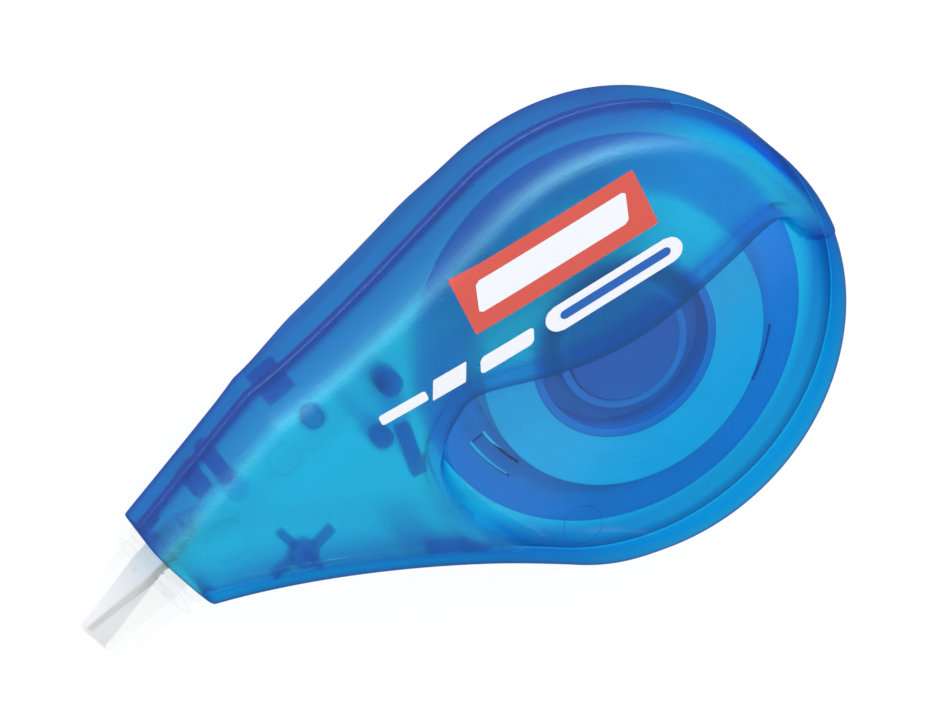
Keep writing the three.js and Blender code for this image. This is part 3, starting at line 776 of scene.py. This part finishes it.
def casing_plastic(name, polished_tint):
    """See-through blue plastic: pigment in its depth, haze and a blurred share where it is frosted.
    The mesh says where: polish is 0 on frosted faces and 1 on polished ones, skin is 1 outside and 0 on
    the inner face, steep is 1 where the wall stands up or steps down, which takes the blur away, and the
    fourth attribute adds haze; on the upper long side that haze is painted shade, a darker band from the
    seam up to the crest. Toward grazing edges the skin's colour turns to a dark blue, painted shade for
    light lost at the edges. polished_tint is the colour of a polished skin."""
    made, tree = material(name)
    polish, skin, steep, haze_and_shade = (attribute(tree, key) for key in ("polish", "skin", "steep", "haze_and_shade"))
    grain = noise(tree, GRAIN_SIZE, 3.0, 0.6)
    frost = scaled(tree, polish, -1.0, 1.0)
    normal = bump(tree, grain, scaled(tree, scaled(tree, frost, *GRAIN_STRENGTH), skin), GRAIN_DEPTH)
    slant = tree.nodes.new("ShaderNodeLayerWeight").outputs["Facing"]
    shadow = tree.nodes.new("ShaderNodeLightPath").outputs["Is Shadow Ray"]
    lit = scaled(tree, scaled(tree, shadow, -BLUR, BLUR), scaled(tree, steep, -1.0, 1.0))
    face_colour = blend(tree, scaled(tree, polish, skin), SKIN_TINT, polished_tint)
    # Painted shade: the outer skin darkens toward grazing edges
    edge = scaled(tree, powered(tree, slant, EDGE_POWER), skin)
    skin_colour = blend(tree, edge, face_colour, EDGE_SHADE_BLUE)
    clear = node(tree, "BsdfTransparent", Color=skin_colour)
    rough = scaled(tree, skin, scaled(tree, slant, *BLUR_ROUGHNESS), LEAST_ROUGHNESS)
    blurred = node(tree, "BsdfRefraction", Color=skin_colour, Roughness=rough, IOR=PLASTIC_IOR,
                   Normal=normal)
    through = mix(tree, scaled(tree, frost, lit), clear, blurred)
    cloud = node(tree, "BsdfDiffuse", Color=HAZE_BLUE, Normal=normal)
    glow = node(tree, "BsdfTranslucent", Color=GLOW_BLUE, Normal=normal)
    amount = spread(tree, polish, *HAZE)
    amount = scaled(tree, amount, spread(tree, noise(tree, CLOUD_SIZE), 0.75, 1.25))
    # Extra haze from the mesh, painted shade on the upper long side
    amount = scaled(tree, haze_and_shade, HAZE_AND_SHADE_AMOUNT, amount)
    amount = scaled(tree, powered(tree, slant, 4.0), EDGE_HAZE, amount)
    body = mix(tree, scaled(tree, amount, skin), through, mix(tree, GLOW_SHARE, cloud, glow))
    rough = spread(tree, polish, *COAT_ROUGHNESS)
    rough = scaled(tree, rough, spread(tree, grain, 0.8, 1.2))
    colour = blend(tree, polish, SHINE_TINT, WHITE)
    shine = node(tree, "BsdfGlossy", Color=colour, Roughness=rough, Normal=normal)
    sheen = scaled(tree, powered(tree, slant, 5.0), 1 - FACE_ON, FACE_ON)
    sheen = scaled(tree, sheen, spread(tree, polish, *COAT))
    sheen = scaled(tree, scaled(tree, frost, FROST_SHINE, sheen), skin)
    sheen = scaled(tree, sheen, scaled(tree, steep, -STEEP_MATT, 1.0))
    depth = node(tree, "VolumeAbsorption", Color=PIGMENT, Density=DENSITY)
    output(tree, mix(tree, sheen, body, shine), depth)
    return made


def post_plastic(name, density, haze):
    """The casing's plastic in a solid post, darker where the light's way through it is long. density and
    haze set its absorption and its dark-blue haze, so that it comes as a darker copy, painted shade, and a
    clearer copy, painted light.
    """
    made, tree = material(name)
    fine = noise(tree, 0.4, 3.0)
    cloud = node(tree, "BsdfDiffuse", Color=POST_SHADE_BLUE, Normal=bump(tree, fine, 0.3, 0.04))
    clear = node(tree, "BsdfTransparent", Color=SKIN_TINT)
    shine = node(tree, "BsdfGlossy", Color=SHINE_TINT, Roughness=spread(tree, fine, 0.2, 0.35))
    body = mix(tree, spread(tree, fine, haze * 0.8, haze * 1.2), clear, cloud)
    depth = node(tree, "VolumeAbsorption", Color=PIGMENT, Density=DENSITY * density)
    output(tree, mix(tree, 0.03, body, shine), depth)
    return made


def uneven(tree, share, first, second, roughness, normal, **sockets):
    """An opaque surface whose colour drifts between two."""
    colour = blend(tree, share, first, second)
    return node(tree, "BsdfPrincipled", Base_Color=colour, Roughness=roughness, Normal=normal, **sockets)


def shaded(colour, factor):
    return tuple(min(part * factor, 1) for part in colour)


def solid_plastic(name, colour, roughness, see_through=0.0):
    """Moulded plastic with a fine grain, slight colour drift and optional see-through share."""
    made, tree = material(name)
    fine, slow = noise(tree, 0.35, 3.0), noise(tree, 5.0)
    rough, normal = spread(tree, fine, roughness * 0.8, roughness * 1.2), bump(tree, fine, 0.4, 0.04)
    surface = uneven(tree, slow, shaded(colour, 0.88), shaded(colour, 1.12), rough, normal, IOR=1.49)
    if see_through:
        clear = node(tree, "BsdfTransparent", Color=tuple(0.35 + 0.65 * part for part in colour))
        surface = mix(tree, see_through, surface, clear)
    output(tree, surface)
    return made


def wound_tape(name, see_through=0.0):
    """White tape: fine rings of the turns on the roll's side, matt paper-like film; a single layer
    lets some light through."""
    made, tree = material(name)
    rings = tree.nodes.new("ShaderNodeTexWave")
    rings.wave_type = "RINGS"
    rings.rings_direction = "Z"
    put(tree, rings, "Vector", tree.nodes.new("ShaderNodeTexCoord").outputs["Object"])
    put(tree, rings, "Scale", 1 / (1.2 * MM))
    put(tree, rings, "Distortion", 0.6)
    put(tree, rings, "Detail Scale", 60)
    slow = noise(tree, 4.0, 3.0)
    normal = bump(tree, rings.outputs["Fac"], 0.25, FINE_DENTS)
    rough = spread(tree, slow, 0.5, 0.7)
    surface = uneven(tree, slow, srgb(228, 230, 226), srgb(246, 246, 241), rough, normal)
    if see_through:
        surface = mix(tree, see_through, surface, node(tree, "BsdfTransparent", Color=WHITE))
    output(tree, surface)
    return made


def frosted_white():
    """Translucent white plastic of the tip."""
    made, tree = material("tip_white")
    fine, slow = noise(tree, 0.3, 3.0), noise(tree, 3.0)
    rough, normal = spread(tree, fine, 0.28, 0.42), bump(tree, fine, 0.3, FINE_DENTS)
    surface = uneven(tree, slow, srgb(250, 251, 252), srgb(253, 253, 253), rough, normal)
    clear = node(tree, "BsdfTransparent", Color=(0.995, 0.996, 0.997))
    glow = node(tree, "BsdfTranslucent", Color=srgb(246, 247, 248))
    output(tree, mix(tree, 0.95, mix(tree, 0.35, surface, glow), clear))
    return made


FILM_WHITE = srgb(252, 252, 253)
FILM_CLOUD = 0.03
TIP_FILM_CLOUD = 0.6
TIP_FILM_RUN = (-7.0, -2.5)


def clear_film():
    """Used backing film: thin, glossy and nearly clear, and milky where it bends inside the tip."""
    made, tree = material("film_clear")
    rough = spread(tree, noise(tree, 0.8), 0.1, 0.25)
    shine = node(tree, "BsdfGlossy", Color=WHITE, Roughness=rough)
    cloud = mix(tree, 0.5, node(tree, "BsdfDiffuse", Color=FILM_WHITE),
                node(tree, "BsdfTranslucent", Color=FILM_WHITE))
    clear = node(tree, "BsdfTransparent", Color=srgb(250, 252, 254))
    share = scaled(tree, attribute(tree, "milky"), TIP_FILM_CLOUD, FILM_CLOUD)
    output(tree, mix(tree, 0.03, mix(tree, share, clear, cloud), shine))
    return made


def print_ink(name, colour):
    """Printed ink with pinholes and a slightly uneven, satin surface."""
    made, tree = material(name)
    fine = noise(tree, 0.16, 3.0)
    rough, normal = spread(tree, fine, 0.4, 0.6), bump(tree, fine, 0.3, FINE_DENTS)
    output(tree, uneven(tree, fine, shaded(colour, 0.9), shaded(colour, 1.08), rough, normal))
    return made


# Casing

def casing():
    front = half_shell("front_casing", True)
    back = half_shell("back_casing", False)
    for piece, name, tint in ((front, "casing_blue", WINDOW_TINT), (back, "casing_blue_back", SKIN_TINT)):
        piece.data.materials.append(casing_plastic(name, tint))
        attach(piece, "casing")
    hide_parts("front_shell")
    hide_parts("back_shell")


def strip_geometry():
    """Where the tape leaves each reel and where it enters the tip, in plan."""
    entry_depth = TIP_INSIDE + TWIST_START
    lift = RIBBON_GAP + RIBBON_THICKNESS / 2
    entry = NOSE_CENTRE - NOSE_AXIS * entry_depth
    reach = np.linalg.norm(entry)
    entry_angle = math.degrees(math.atan2(entry[1], entry[0]))
    feed_radius, film_radius = ROLL_RADIUS + lift, FILM_RADIUS + FILM_DEPTH + lift
    feed_angle = entry_angle - math.degrees(math.acos(feed_radius / reach))
    film_angle = entry_angle + math.degrees(math.acos(film_radius / reach))
    return entry_depth, lift, entry, (feed_radius, feed_angle), (film_radius, film_angle)


def under_cover(middles, radius):
    """The height that a solid round these places may reach below the front wall."""
    places = np.concatenate([circle(*middle, radius, COVER_STEPS) for middle in middles])
    return height_at(places[:, 0], places[:, 1], WALL).min() - COVER_GAP


def roof(x, y):
    """Height of the middle of the front wall, where posts end inside it."""
    return float(height_at(x, y, WALL)[0]) + WALL / 2


def bar(a, b, thickness, low, high, bevel=0.1):
    """An upright bar from a to b in plan."""
    a, b = np.array(a, float), np.array(b, float)
    along = (b - a) / np.linalg.norm(b - a)
    across = np.array([-along[1], along[0]]) * thickness / 2
    return extruded([a - across, b - across, b + across, a + across], low, high, bevel)


def guide_solids(low):
    """The guide wall, and the rib and pins beside the returning film."""
    middle, outer = GUIDE_RADIUS + GUIDE_WALL / 2, GUIDE_RADIUS + GUIDE_WALL
    top = under_cover([turn(a) * middle for a in (GUIDE_FROM, GUIDE_TO)], GUIDE_WALL)
    angles = np.linspace(GUIDE_FROM, GUIDE_TO, GUIDE_STEPS)
    wall = [turn(a) * outer for a in angles] + [turn(a) * GUIDE_RADIUS for a in angles[::-1]]
    _, _, entry, _, (film_radius, film_angle) = strip_geometry()
    along = turn(film_angle) * film_radius - entry
    along /= np.linalg.norm(along)
    below = np.array([along[1], -along[0]])
    rib_from = entry + along * RIB_START + below * (RIB_OFFSET + RIB_THICKNESS / 2)
    rib_to = rib_from + along * RIB_LENGTH
    rib_top = under_cover((rib_from, rib_to), RIB_THICKNESS)
    solids = [extruded(wall, low, top, 0.1), bar(rib_from, rib_to, RIB_THICKNESS, low, rib_top)]
    for side in (-1, 1):
        place = entry + along * PIN_PLACE + below * side * (PIN_RADIUS + PIN_SLACK + RIBBON_THICKNESS / 2)
        solids.append(peg(place, PIN_RADIUS, low, under_cover([place], PIN_RADIUS)))
    return solids


def snap_blocks():
    """Blocks on the inner side of the long walls."""
    solids = []
    for snap in SNAPS:
        edge = edge_path(snap["side"], snap["inset"], snap["inset"])[:LONG_EDGE_POINTS]
        ends = [(x, np.interp(x, edge[:, 0], edge[:, 1])) for x in snap["x"]]
        solids.append(bar(*ends, SNAP_THICKNESS, *snap["heights"]))
    return solids


def square_bar(inner, outer, low, high, closed):
    """Vertices and faces of a bar of square section between two lines in plan."""
    count = len(inner)
    corners = ((inner, low), (outer, low), (outer, high), (inner, high))
    vertices = np.concatenate([np.c_[line, np.full(count, z)] for line, z in corners])
    ends = [] if closed else [tuple(r * count + end for r in range(4)) for end in (0, count - 1)]
    return vertices, woven(4, count, True, closed) + ends


def seam_lip():
    """The lip inside the upper long wall that laps over the seam."""
    paths = [edge_path(1, inset, inset) for inset in LIP_INSETS]
    lines = [at_shares(path[path[:, 0] < LIP_END], np.linspace(0, 1, COLUMNS)) for path in paths]
    return [square_bar(*lines, *LIP_HEIGHTS, False)]


def ribbed_boss():
    """A round boss with four ribs under the front wall, squared up with the nose."""
    centre = np.array(CROSS_PLACE)
    high = roof(*CROSS_PLACE)
    solids = [peg(CROSS_PLACE, CROSS_RADIUS, high - CROSS_DEPTH, high)]
    for axis in (NOSE_AXIS, -NOSE_AXIS, NOSE_ACROSS, -NOSE_ACROSS):
        ends = centre + axis * CROSS_RADIUS * CROSS_RIB_START, centre + axis * CROSS_REACH
        top = min(high, roof(*ends[1]) - CROSS_RIB_DROP)
        solids.append(bar(*ends, CROSS_RIB, top - CROSS_RIB_DEPTH, top))
    return solids


def ejector_marks():
    """Faint rings that the mould's pins leave under the front wall."""
    solids, halves = [], (-MARK_WIDTH / 2, MARK_WIDTH / 2)
    for x, y, radius in EJECTOR_MARKS:
        inner, outer = (circle(x, y, radius + half, SMALL_ROUND_STEPS) for half in halves)
        top = height_at(x, y, WALL)[0]
        solids.append(square_bar(inner, outer, top - MARK_DEPTH, top, True))
    return solids


def posts():
    """Everything that stands up inside the casing."""
    low, boss_top, socket_low = WALL / 2, roof(*BOSS_PLACE), SOCKET_HEIGHT + COVER_GAP
    wall_middle = turn(GUIDE_FROM) * (GUIDE_RADIUS + GUIDE_WALL / 2)
    rib_ends = FRONT_RIB["from"], FRONT_RIB["to"]
    rib_top = min(roof(*end) for end in rib_ends)
    rib = bar(*rib_ends, FRONT_RIB["thickness"], rib_top - FRONT_RIB["depth"], rib_top)
    pins = [peg(place, PIN_POST_RADIUS, low, SOCKET_HEIGHT) for place in POST_PLACES]
    sockets = [peg(place, SOCKET_RADIUS, socket_low, roof(*place)) for place in POST_PLACES]
    bosses = [peg((x, y), radius, roof(x, y) - depth, roof(x, y)) for x, y, radius, depth in FRONT_BOSSES]
    # Two copies of one plastic: the darker one is painted shade and the clearer one painted light
    dark, light = post_plastic("post_painted_shade", 1.8, 0.34), post_plastic("post_painted_light", 0.5, 0.06)
    made = {
        "pin_posts": (pins[:1], dark),
        "sockets": (sockets, light),
        "far_pin": (pins[1:], light),
        "front_bosses": (bosses, dark),
        "boss": ([peg(BOSS_PLACE, BOSS_RADIUS, boss_top - BOSS_DEPTH, boss_top)], dark),
        "boss_ring": ([peg(BOSS_PLACE, BOSS_RING, boss_top - BOSS_DEPTH / 2, boss_top)], light),
        "seam_lip": (seam_lip(), dark),
        "ribbed_boss": (ribbed_boss(), dark),
        "snap_blocks": (snap_blocks(), dark),
        "guide_post": ([peg(wall_middle, GUIDE_POST_RADIUS, low, GUIDE_POST_TOP)], light),
        "front_ribs": ([rib], dark),
        "tape_guides": (guide_solids(low), light),
        "ejector_marks": (ejector_marks(), light),
    }
    axle = band("axle", AXLE_BORE, AXLE_RADIUS, low, TUBE_TOP, 0.15, steps=SMALL_ROUND_STEPS)
    pieces = [(axle, dark)]
    pieces += [(gather(name, solids), plastic) for name, (solids, plastic) in made.items()]
    for piece, plastic in pieces:
        piece.data.materials.append(plastic)
        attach(piece, "casing")


# Reels

def supply_core():
    sleeve, wall = SLEEVE_RADIUS - CORE_THICKNESS, CORE_RADIUS - CORE_THICKNESS
    floor_top, sleeve_top = ROLL_BOTTOM + CORE_FLOOR, ROLL_TOP - SLEEVE_DROP
    core = lathe("tape_core", rounded([
        (sleeve, ROLL_BOTTOM), (CORE_RADIUS - TAPE_SEAT, ROLL_BOTTOM), (CORE_RADIUS - TAPE_SEAT, ROLL_TOP),
        (wall, ROLL_TOP), (wall, floor_top), (SLEEVE_RADIUS, floor_top),
        (SLEEVE_RADIUS, sleeve_top), (sleeve, sleeve_top),
    ], 0.14))
    core.data.materials.append(solid_plastic("core_blue", srgb(140, 185, 235), 0.3, 0.25))
    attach(core, "supply_reel")
    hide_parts("supply_core")


def supply_tape():
    """The roll, with the faint steps that its turns leave on both sides."""
    radii = np.arange(CORE_RADIUS, ROLL_RADIUS + TINY, RIBBON_THICKNESS * 2)
    wander = TURN_WANDER * np.sin(radii * 5.1) * np.sin(radii * 1.7 + 0.6)
    top = [(r, ROLL_TOP - TURN_WANDER + w) for r, w in zip(radii, wander)]
    bottom = [(r, ROLL_BOTTOM + TURN_WANDER - w) for r, w in zip(radii, wander)]
    roll = lathe("tape_roll", bottom + top[::-1], smooth_angle=60)
    roll.data.materials.append(wound_tape("tape_white"))
    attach(roll, "supply_reel")
    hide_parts("supply_tape")


def finger_sides():
    """Inner and outer radius of the spring fingers."""
    middle = DRUM_RADIUS - DRUM_THICKNESS / 2
    return middle - FINGER_WIDTH / 2, middle + FINGER_WIDTH / 2


def finger_gap(radius, angle):
    """Whether a place on the flange lies in the slots round a spring finger."""
    inner, outer = finger_sides()
    for start in FINGER_ANGLES:
        away = (angle - start) % 360
        if away > FINGER_TURN or not inner - FINGER_SLOT < radius < outer + FINGER_SLOT:
            continue
        if radius < inner or radius > outer or away < math.degrees(2 * FINGER_SLOT / (inner + outer)):
            return True
    return False


def flange():
    """The take-up flange as a ring of cells, open where the finger slots are."""
    inner, outer = finger_sides()
    edge, steps = FLANGE_EDGE, FLANGE_STEPS
    bevel = edge * 0.3
    radii = np.array([TUBE_RADIUS, *FLANGE_RINGS[0], inner - FINGER_SLOT, inner, outer, outer + FINGER_SLOT,
                      *FLANGE_RINGS[1], FLANGE_RADIUS - edge, FLANGE_RADIUS - bevel, FLANGE_RADIUS])
    drop = np.zeros(len(radii))
    drop[-2:] = (bevel, edge)
    last = len(radii) - 2
    low, high = FLANGE_BOTTOM + drop, FLANGE_TOP - drop
    vertices = [(*(turn(angle) * radius), z) for heights in (low, high)
                for radius, z in zip(radii, heights) for angle in range(steps)]
    middles = (radii[1:] + radii[:-1]) / 2
    solid = np.array([[not finger_gap(middle, i + 0.5) for i in range(steps)] for middle in middles])
    faces = []

    def at(layer, j, i):
        return (layer * len(radii) + j) * steps + i % steps

    def wall(a, b):
        faces.append((at(0, *a), at(0, *b), at(1, *b), at(1, *a)))

    for j, i in np.argwhere(solid):
        cell = ((j, i), (j, i + 1), (j + 1, i + 1), (j + 1, i))
        faces += [tuple(at(layer, *corner) for corner in cell) for layer in (0, 1)]
        if j == 0 or not solid[j - 1, i]:
            wall((j, i), (j, i + 1))
        if j == last or not solid[j + 1, i]:
            wall((j + 1, i), (j + 1, i + 1))
        for k, side in ((i - 1, i), (i + 1, i + 1)):
            if not solid[j, k % steps]:
                wall((j, side), (j + 1, side))
    return make_mesh("take_up_flange", vertices, faces, smooth_angle=40)


def take_up_reel():
    tube = band("take_up_tube", TUBE_BORE, TUBE_RADIUS, DRUM_BOTTOM, TUBE_TOP, 0.15)
    drum = band("take_up_drum", DRUM_RADIUS - DRUM_THICKNESS, DRUM_RADIUS, DRUM_BOTTOM, FLANGE_BOTTOM, 0.12)
    disc = flange()
    blue = solid_plastic("reel_blue", srgb(186, 190, 240), 0.32, 0.3)
    for piece in (disc, tube, drum):
        piece.data.materials.append(blue)
        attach(piece, "take_up")
    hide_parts("take_up_reel")


def take_up_film():
    outer, top = FILM_RADIUS + FILM_DEPTH, FILM_BOTTOM + TAPE_WIDTH
    film = band("film_turns", FILM_RADIUS, outer, FILM_BOTTOM, top, 0.1)
    film.data.materials.append(clear_film())
    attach(film, "take_up")
    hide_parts("take_up_film")


def clutch_ring():
    inner, outer = TUBE_RADIUS + CLUTCH_GAP, SLEEVE_RADIUS - CORE_THICKNESS - CLUTCH_GAP
    clutch = band("clutch_band", inner, outer, CLUTCH_BOTTOM, CLUTCH_TOP, 0.35, 5)
    clutch.data.materials.append(solid_plastic("clutch_rubber", srgb(112, 118, 158), 0.6))
    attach(clutch, "take_up")
    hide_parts("clutch_ring")


def axle_cap():
    """The cap with its stem and a shallow dish in its top."""
    rim, stem_end, dish = TUBE_RADIUS + CAP_RIM, CAP_BOTTOM - STEM_LENGTH, CAP_TOP - CAP_DISH_DEPTH
    inside, outside = (rim * share for share in CAP_DISH)
    under, edge = CAP_BEVELS
    cap = lathe("axle_cap", [
        (CAP_MIDDLE, stem_end), (STEM_RADIUS - edge, stem_end), (STEM_RADIUS, stem_end + edge),
        (STEM_RADIUS, CAP_BOTTOM), (rim - under, CAP_BOTTOM), (rim, CAP_BOTTOM + under),
        (rim, CAP_TOP - edge), (rim - edge, CAP_TOP), (outside, CAP_TOP), (inside, dish), (CAP_MIDDLE, dish),
    ])
    cap.data.materials.append(solid_plastic("cap_violet", srgb(176, 138, 196), 0.3, 0.1))
    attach(cap, "casing")
    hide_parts("hub_cap")


# Tip and free tape

def tip():
    """The tip's own solid with its faces joined up and its edges softened."""
    source = frame["nodes"]["applicator_tip"]
    mesh = source.data.copy()
    bm = bmesh.new()
    bm.from_mesh(mesh)
    bmesh.ops.remove_doubles(bm, verts=bm.verts, dist=0.002 * MM)
    bmesh.ops.dissolve_limit(bm, angle_limit=math.radians(1), verts=bm.verts, edges=bm.edges)
    sharp = [e for e in bm.edges if len(e.link_faces) == 2 and e.calc_face_angle(0) > math.radians(20)]
    bmesh.ops.bevel(bm, geom=sharp, offset=TIP_BEVEL * MM, segments=2, profile=0.6,
                    affect="EDGES", clamp_overlap=True)
    finish_bmesh(bm, mesh, 40)
    mesh.materials.clear()
    mesh.materials.append(frosted_white())
    made = link("writing_tip", mesh)
    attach(made, "casing")
    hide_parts("applicator_tip")


def strip(name, reel, height, side):
    """A free run of tape: off its reel, straight to the nose with a quarter turn, then over the tip."""
    entry_depth, lift, _, feed, film = strip_geometry()
    radius, angle = feed if reel == "feed" else film
    up, across = np.array([0, 0, 1.0]), np.array([*NOSE_ACROSS, 0]) * side

    def on_reel(degrees):
        return np.array([*(turn(degrees) * radius), height])

    def on_tip(outward, rise):
        return np.array([*(NOSE_CENTRE + NOSE_AXIS * outward), TIP_HEIGHT + side * rise])

    wrap = np.linspace(1, 0, WRAP_STEPS + 1)
    stations = [(on_reel(angle - side * WRAP_ANGLE * share), up) for share in wrap]
    leave, entry = on_reel(angle), on_tip(-entry_depth, WEDGE_ROOT + lift)
    length = np.linalg.norm(entry - leave)
    for share in np.linspace(0, 1, TWIST_STEPS + 1):
        at = leave + (entry - leave) * (1 - TWIST_LENGTH * (1 - share) / length)
        turned = share * math.pi / 2
        stations.append((at, up * math.cos(turned) + across * math.sin(turned)))
    stations.append((on_tip(TAPER_START, WEDGE_ROOT + lift), across))
    for turned in np.linspace(0, math.pi / 2, TURN_STEPS + 1):
        outward, rise = TIP_REACH + lift * math.sin(turned), WEDGE_EDGE + lift * math.cos(turned)
        stations.append((on_tip(outward, rise), across))
    stations.append((on_tip(TIP_REACH + lift, RIBBON_GAP), across))
    rings = []
    for i, (at, across) in enumerate(stations):
        along = stations[min(i + 1, len(stations) - 1)][0] - stations[max(i - 1, 0)][0]
        along /= np.linalg.norm(along)
        width = across - along * (across @ along)
        width /= np.linalg.norm(width)
        face = np.cross(along, width)
        rings += [at + width * s * TAPE_WIDTH / 2 + face * f * RIBBON_THICKNESS / 2
                  for s, f in ((-1, -1), (1, -1), (1, 1), (-1, 1))]
    vertices, last = np.array(rings), len(rings) - 4
    faces = [(0, 1, 2, 3), (last, last + 1, last + 2, last + 3)]
    faces += woven(len(stations), 4, round_columns=True)
    milky = smoothstep(nose_frame(vertices)[1], *TIP_FILM_RUN)
    return make_mesh(name, vertices, faces, {"milky": milky}, smooth_angle=50)


def free_tape():
    feed = strip("tape_to_tip", "feed", (ROLL_BOTTOM + ROLL_TOP) / 2, 1)
    film = strip("film_from_tip", "film", FILM_BOTTOM + TAPE_WIDTH / 2, -1)
    feed.data.materials.append(wound_tape("tape_layer", 0.9))
    film.data.materials.append(clear_film())
    for piece, slot, cad in ((feed, "tape_white", "feed_tape"), (film, "film_clear", "return_film")):
        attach(piece, "casing")
        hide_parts(cad)


# Plain printed shapes: a panel, a stripe, three small bars, and the bars that lie on the first two

INK_LIFT = 0.025
PRINT_STEPS = (14, 60)
INKS = {"red": srgb(206, 82, 71), "white": srgb(226, 229, 236), "blue": srgb(20, 92, 176)}
# Name, ink, layer, lower left and upper right corner, rounding and slant of the ends
PRINTS = (
    ("print_panel", "red", 1, (-15.4, 14.5), (8.8, 22.1), 0.06, 0),
    ("print_panel_bar", "white", 2, (-13.4, 16.6), (6.4, 20.3), 0.5, 1.2),
    ("print_stripe", "white", 1, (-7.9, 9.1), (10.2, 12.3), 1.7, 0),
    ("print_stripe_bar", "blue", 2, (-6.0, 10.2), (8.7, 11.3), 0.6, 0),
    ("print_left_bar", "white", 1, (-16.6, 9.7), (-9.6, 11.6), 0.5, 0.8),
    ("print_small_bar", "white", 1, (-29.4, 10.3), (-23.4, 11.6), 0.3, 0),
    ("print_block", "white", 1, (-22.6, 9.9), (-18.3, 12.2), 0.05, 1.1),
)


def print_patch(name, ink, layer, low, high, corner, slant):
    """A printed shape that follows the raised surface."""
    rows, columns = PRINT_STEPS
    grid = []
    for v in np.linspace(0, 1, rows):
        y = low[1] + (high[1] - low[1]) * v
        near = min(y - low[1], high[1] - y)
        short = corner - math.sqrt(max(corner**2 - max(corner - near, 0) ** 2, 0))
        length = high[0] - low[0] - 2 * short
        x = low[0] + short + slant * (v - 0.5) + length * np.linspace(0, 1, columns)
        grid.append(np.c_[x, np.full(columns, y)])
    plan = np.concatenate(grid)
    z = height_at(plan[:, 0], plan[:, 1]) + layer * INK_LIFT
    piece = make_mesh(name, np.c_[plan, z], woven(rows, columns), smooth_angle=60, merge=0.0001)
    piece.data.materials.append(ink)
    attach(piece, "casing")


def prints():
    inks = {name: print_ink("ink_" + name, colour) for name, colour in INKS.items()}
    for name, ink, *place in PRINTS:
        print_patch(name, inks[ink], *place)


# Stage, with its places in metres

CAMERA_PLACE = (-0.09265, 0.31525, 0.51721)
CAMERA_AXES = (
    (0.84250, 0.52323, -0.12820),
    (-0.39468, 0.76148, 0.51418),
    (0.36665, -0.38260, 0.84805),
)
LENS = 200.08
ROOM_LIGHT = 0.82
MIRRORED_ROOM = 0.2
SEEN_FLOOR = 0.14
SEEN_GLOW = 0.88
LIT_FLOOR = 0.82
MIRRORED_FLOOR = 0.3
FLOOR_CORNERS = ((-1, -1), (1, -1), (1, 1), (-1, 1))
FLOOR_REACH = 3.0
FLOOR_HEIGHT = -0.0001
LAMP_TARGET = (-0.012, 0.004, 0.008)


def camera():
    data = bpy.data.cameras.new("camera")
    data.lens = LENS
    data.sensor_width = 36
    data.clip_start, data.clip_end = 0.01, 20
    made = link("camera", data)
    made.matrix_world = Matrix.Translation(CAMERA_PLACE) @ Matrix(CAMERA_AXES).to_4x4()
    bpy.context.scene.camera = made


def lamp(name, place, size, power):
    """A rectangular lamp that faces the object."""
    data = bpy.data.lights.new(name, "AREA")
    data.shape = "RECTANGLE"
    data.size, data.size_y = size
    data.energy = power
    made = link(name, data)
    away = Vector(place) - Vector(LAMP_TARGET)
    made.matrix_world = Matrix.Translation(place) @ away.to_track_quat("Z", "Y").to_matrix().to_4x4()


def ray_kinds(tree):
    """Which rays see the plain white ground, and which are mirrored in the gloss."""
    rays = tree.nodes.new("ShaderNodeLightPath").outputs
    seen = node(tree, "Math", rays["Is Camera Ray"], rays["Is Transmission Ray"], operation="MAXIMUM")
    return seen, rays["Is Glossy Ray"]


def floor():
    corners = [(x * FLOOR_REACH, y * FLOOR_REACH, FLOOR_HEIGHT) for x, y in FLOOR_CORNERS]
    mesh = bpy.data.meshes.new("floor")
    mesh.from_pydata(corners, [], [(0, 1, 2, 3)])
    made = link("floor", mesh)
    finish, tree = material("floor_white")
    seen_rays, mirrored = ray_kinds(tree)
    greys = (SEEN_FLOOR, LIT_FLOOR, MIRRORED_FLOOR)
    part, paper, dim = (node(tree, "BsdfDiffuse", Color=(grey,) * 3) for grey in greys)
    seen = node(tree, "AddShader", part, node(tree, "Emission", Color=WHITE, Strength=SEEN_GLOW))
    output(tree, mix(tree, seen_rays, mix(tree, mirrored, paper, dim), seen))
    mesh.materials.append(finish)


def world():
    made = bpy.data.worlds.new("world")
    bpy.context.scene.world = made
    made.use_nodes = True
    tree = made.node_tree
    tree.nodes.clear()
    seen_rays, mirrored = ray_kinds(tree)
    room, dim, seen = (
        node(tree, "Background", Color=WHITE, Strength=strength)
        for strength in (ROOM_LIGHT, MIRRORED_ROOM, 1.0)
    )
    surface = mix(tree, seen_rays, mix(tree, mirrored, room, dim), seen)
    tree.links.new(surface, tree.nodes.new("ShaderNodeOutputWorld").inputs["Surface"])


def lights():
    lamp("key", (0.12, 0.54, 0.32), (1.0, 0.14), 2.4)
    lamp("crest", (0.05, 0.36, 0.56), (0.7, 0.16), 0.9)
    lamp("top", (0.46, 0.42, 0.46), (0.35, 0.35), 0.35)
    lamp("window_glare", (0.122, -0.425, 0.703), (0.11, 0.04), 0.009)
    bpy.context.scene.view_settings.view_transform = "Standard"


camera()
floor()
world()
lights()
casing()
posts()
supply_core()
supply_tape()
take_up_reel()
take_up_film()
clutch_ring()
axle_cap()
tip()
free_tape()
prints()
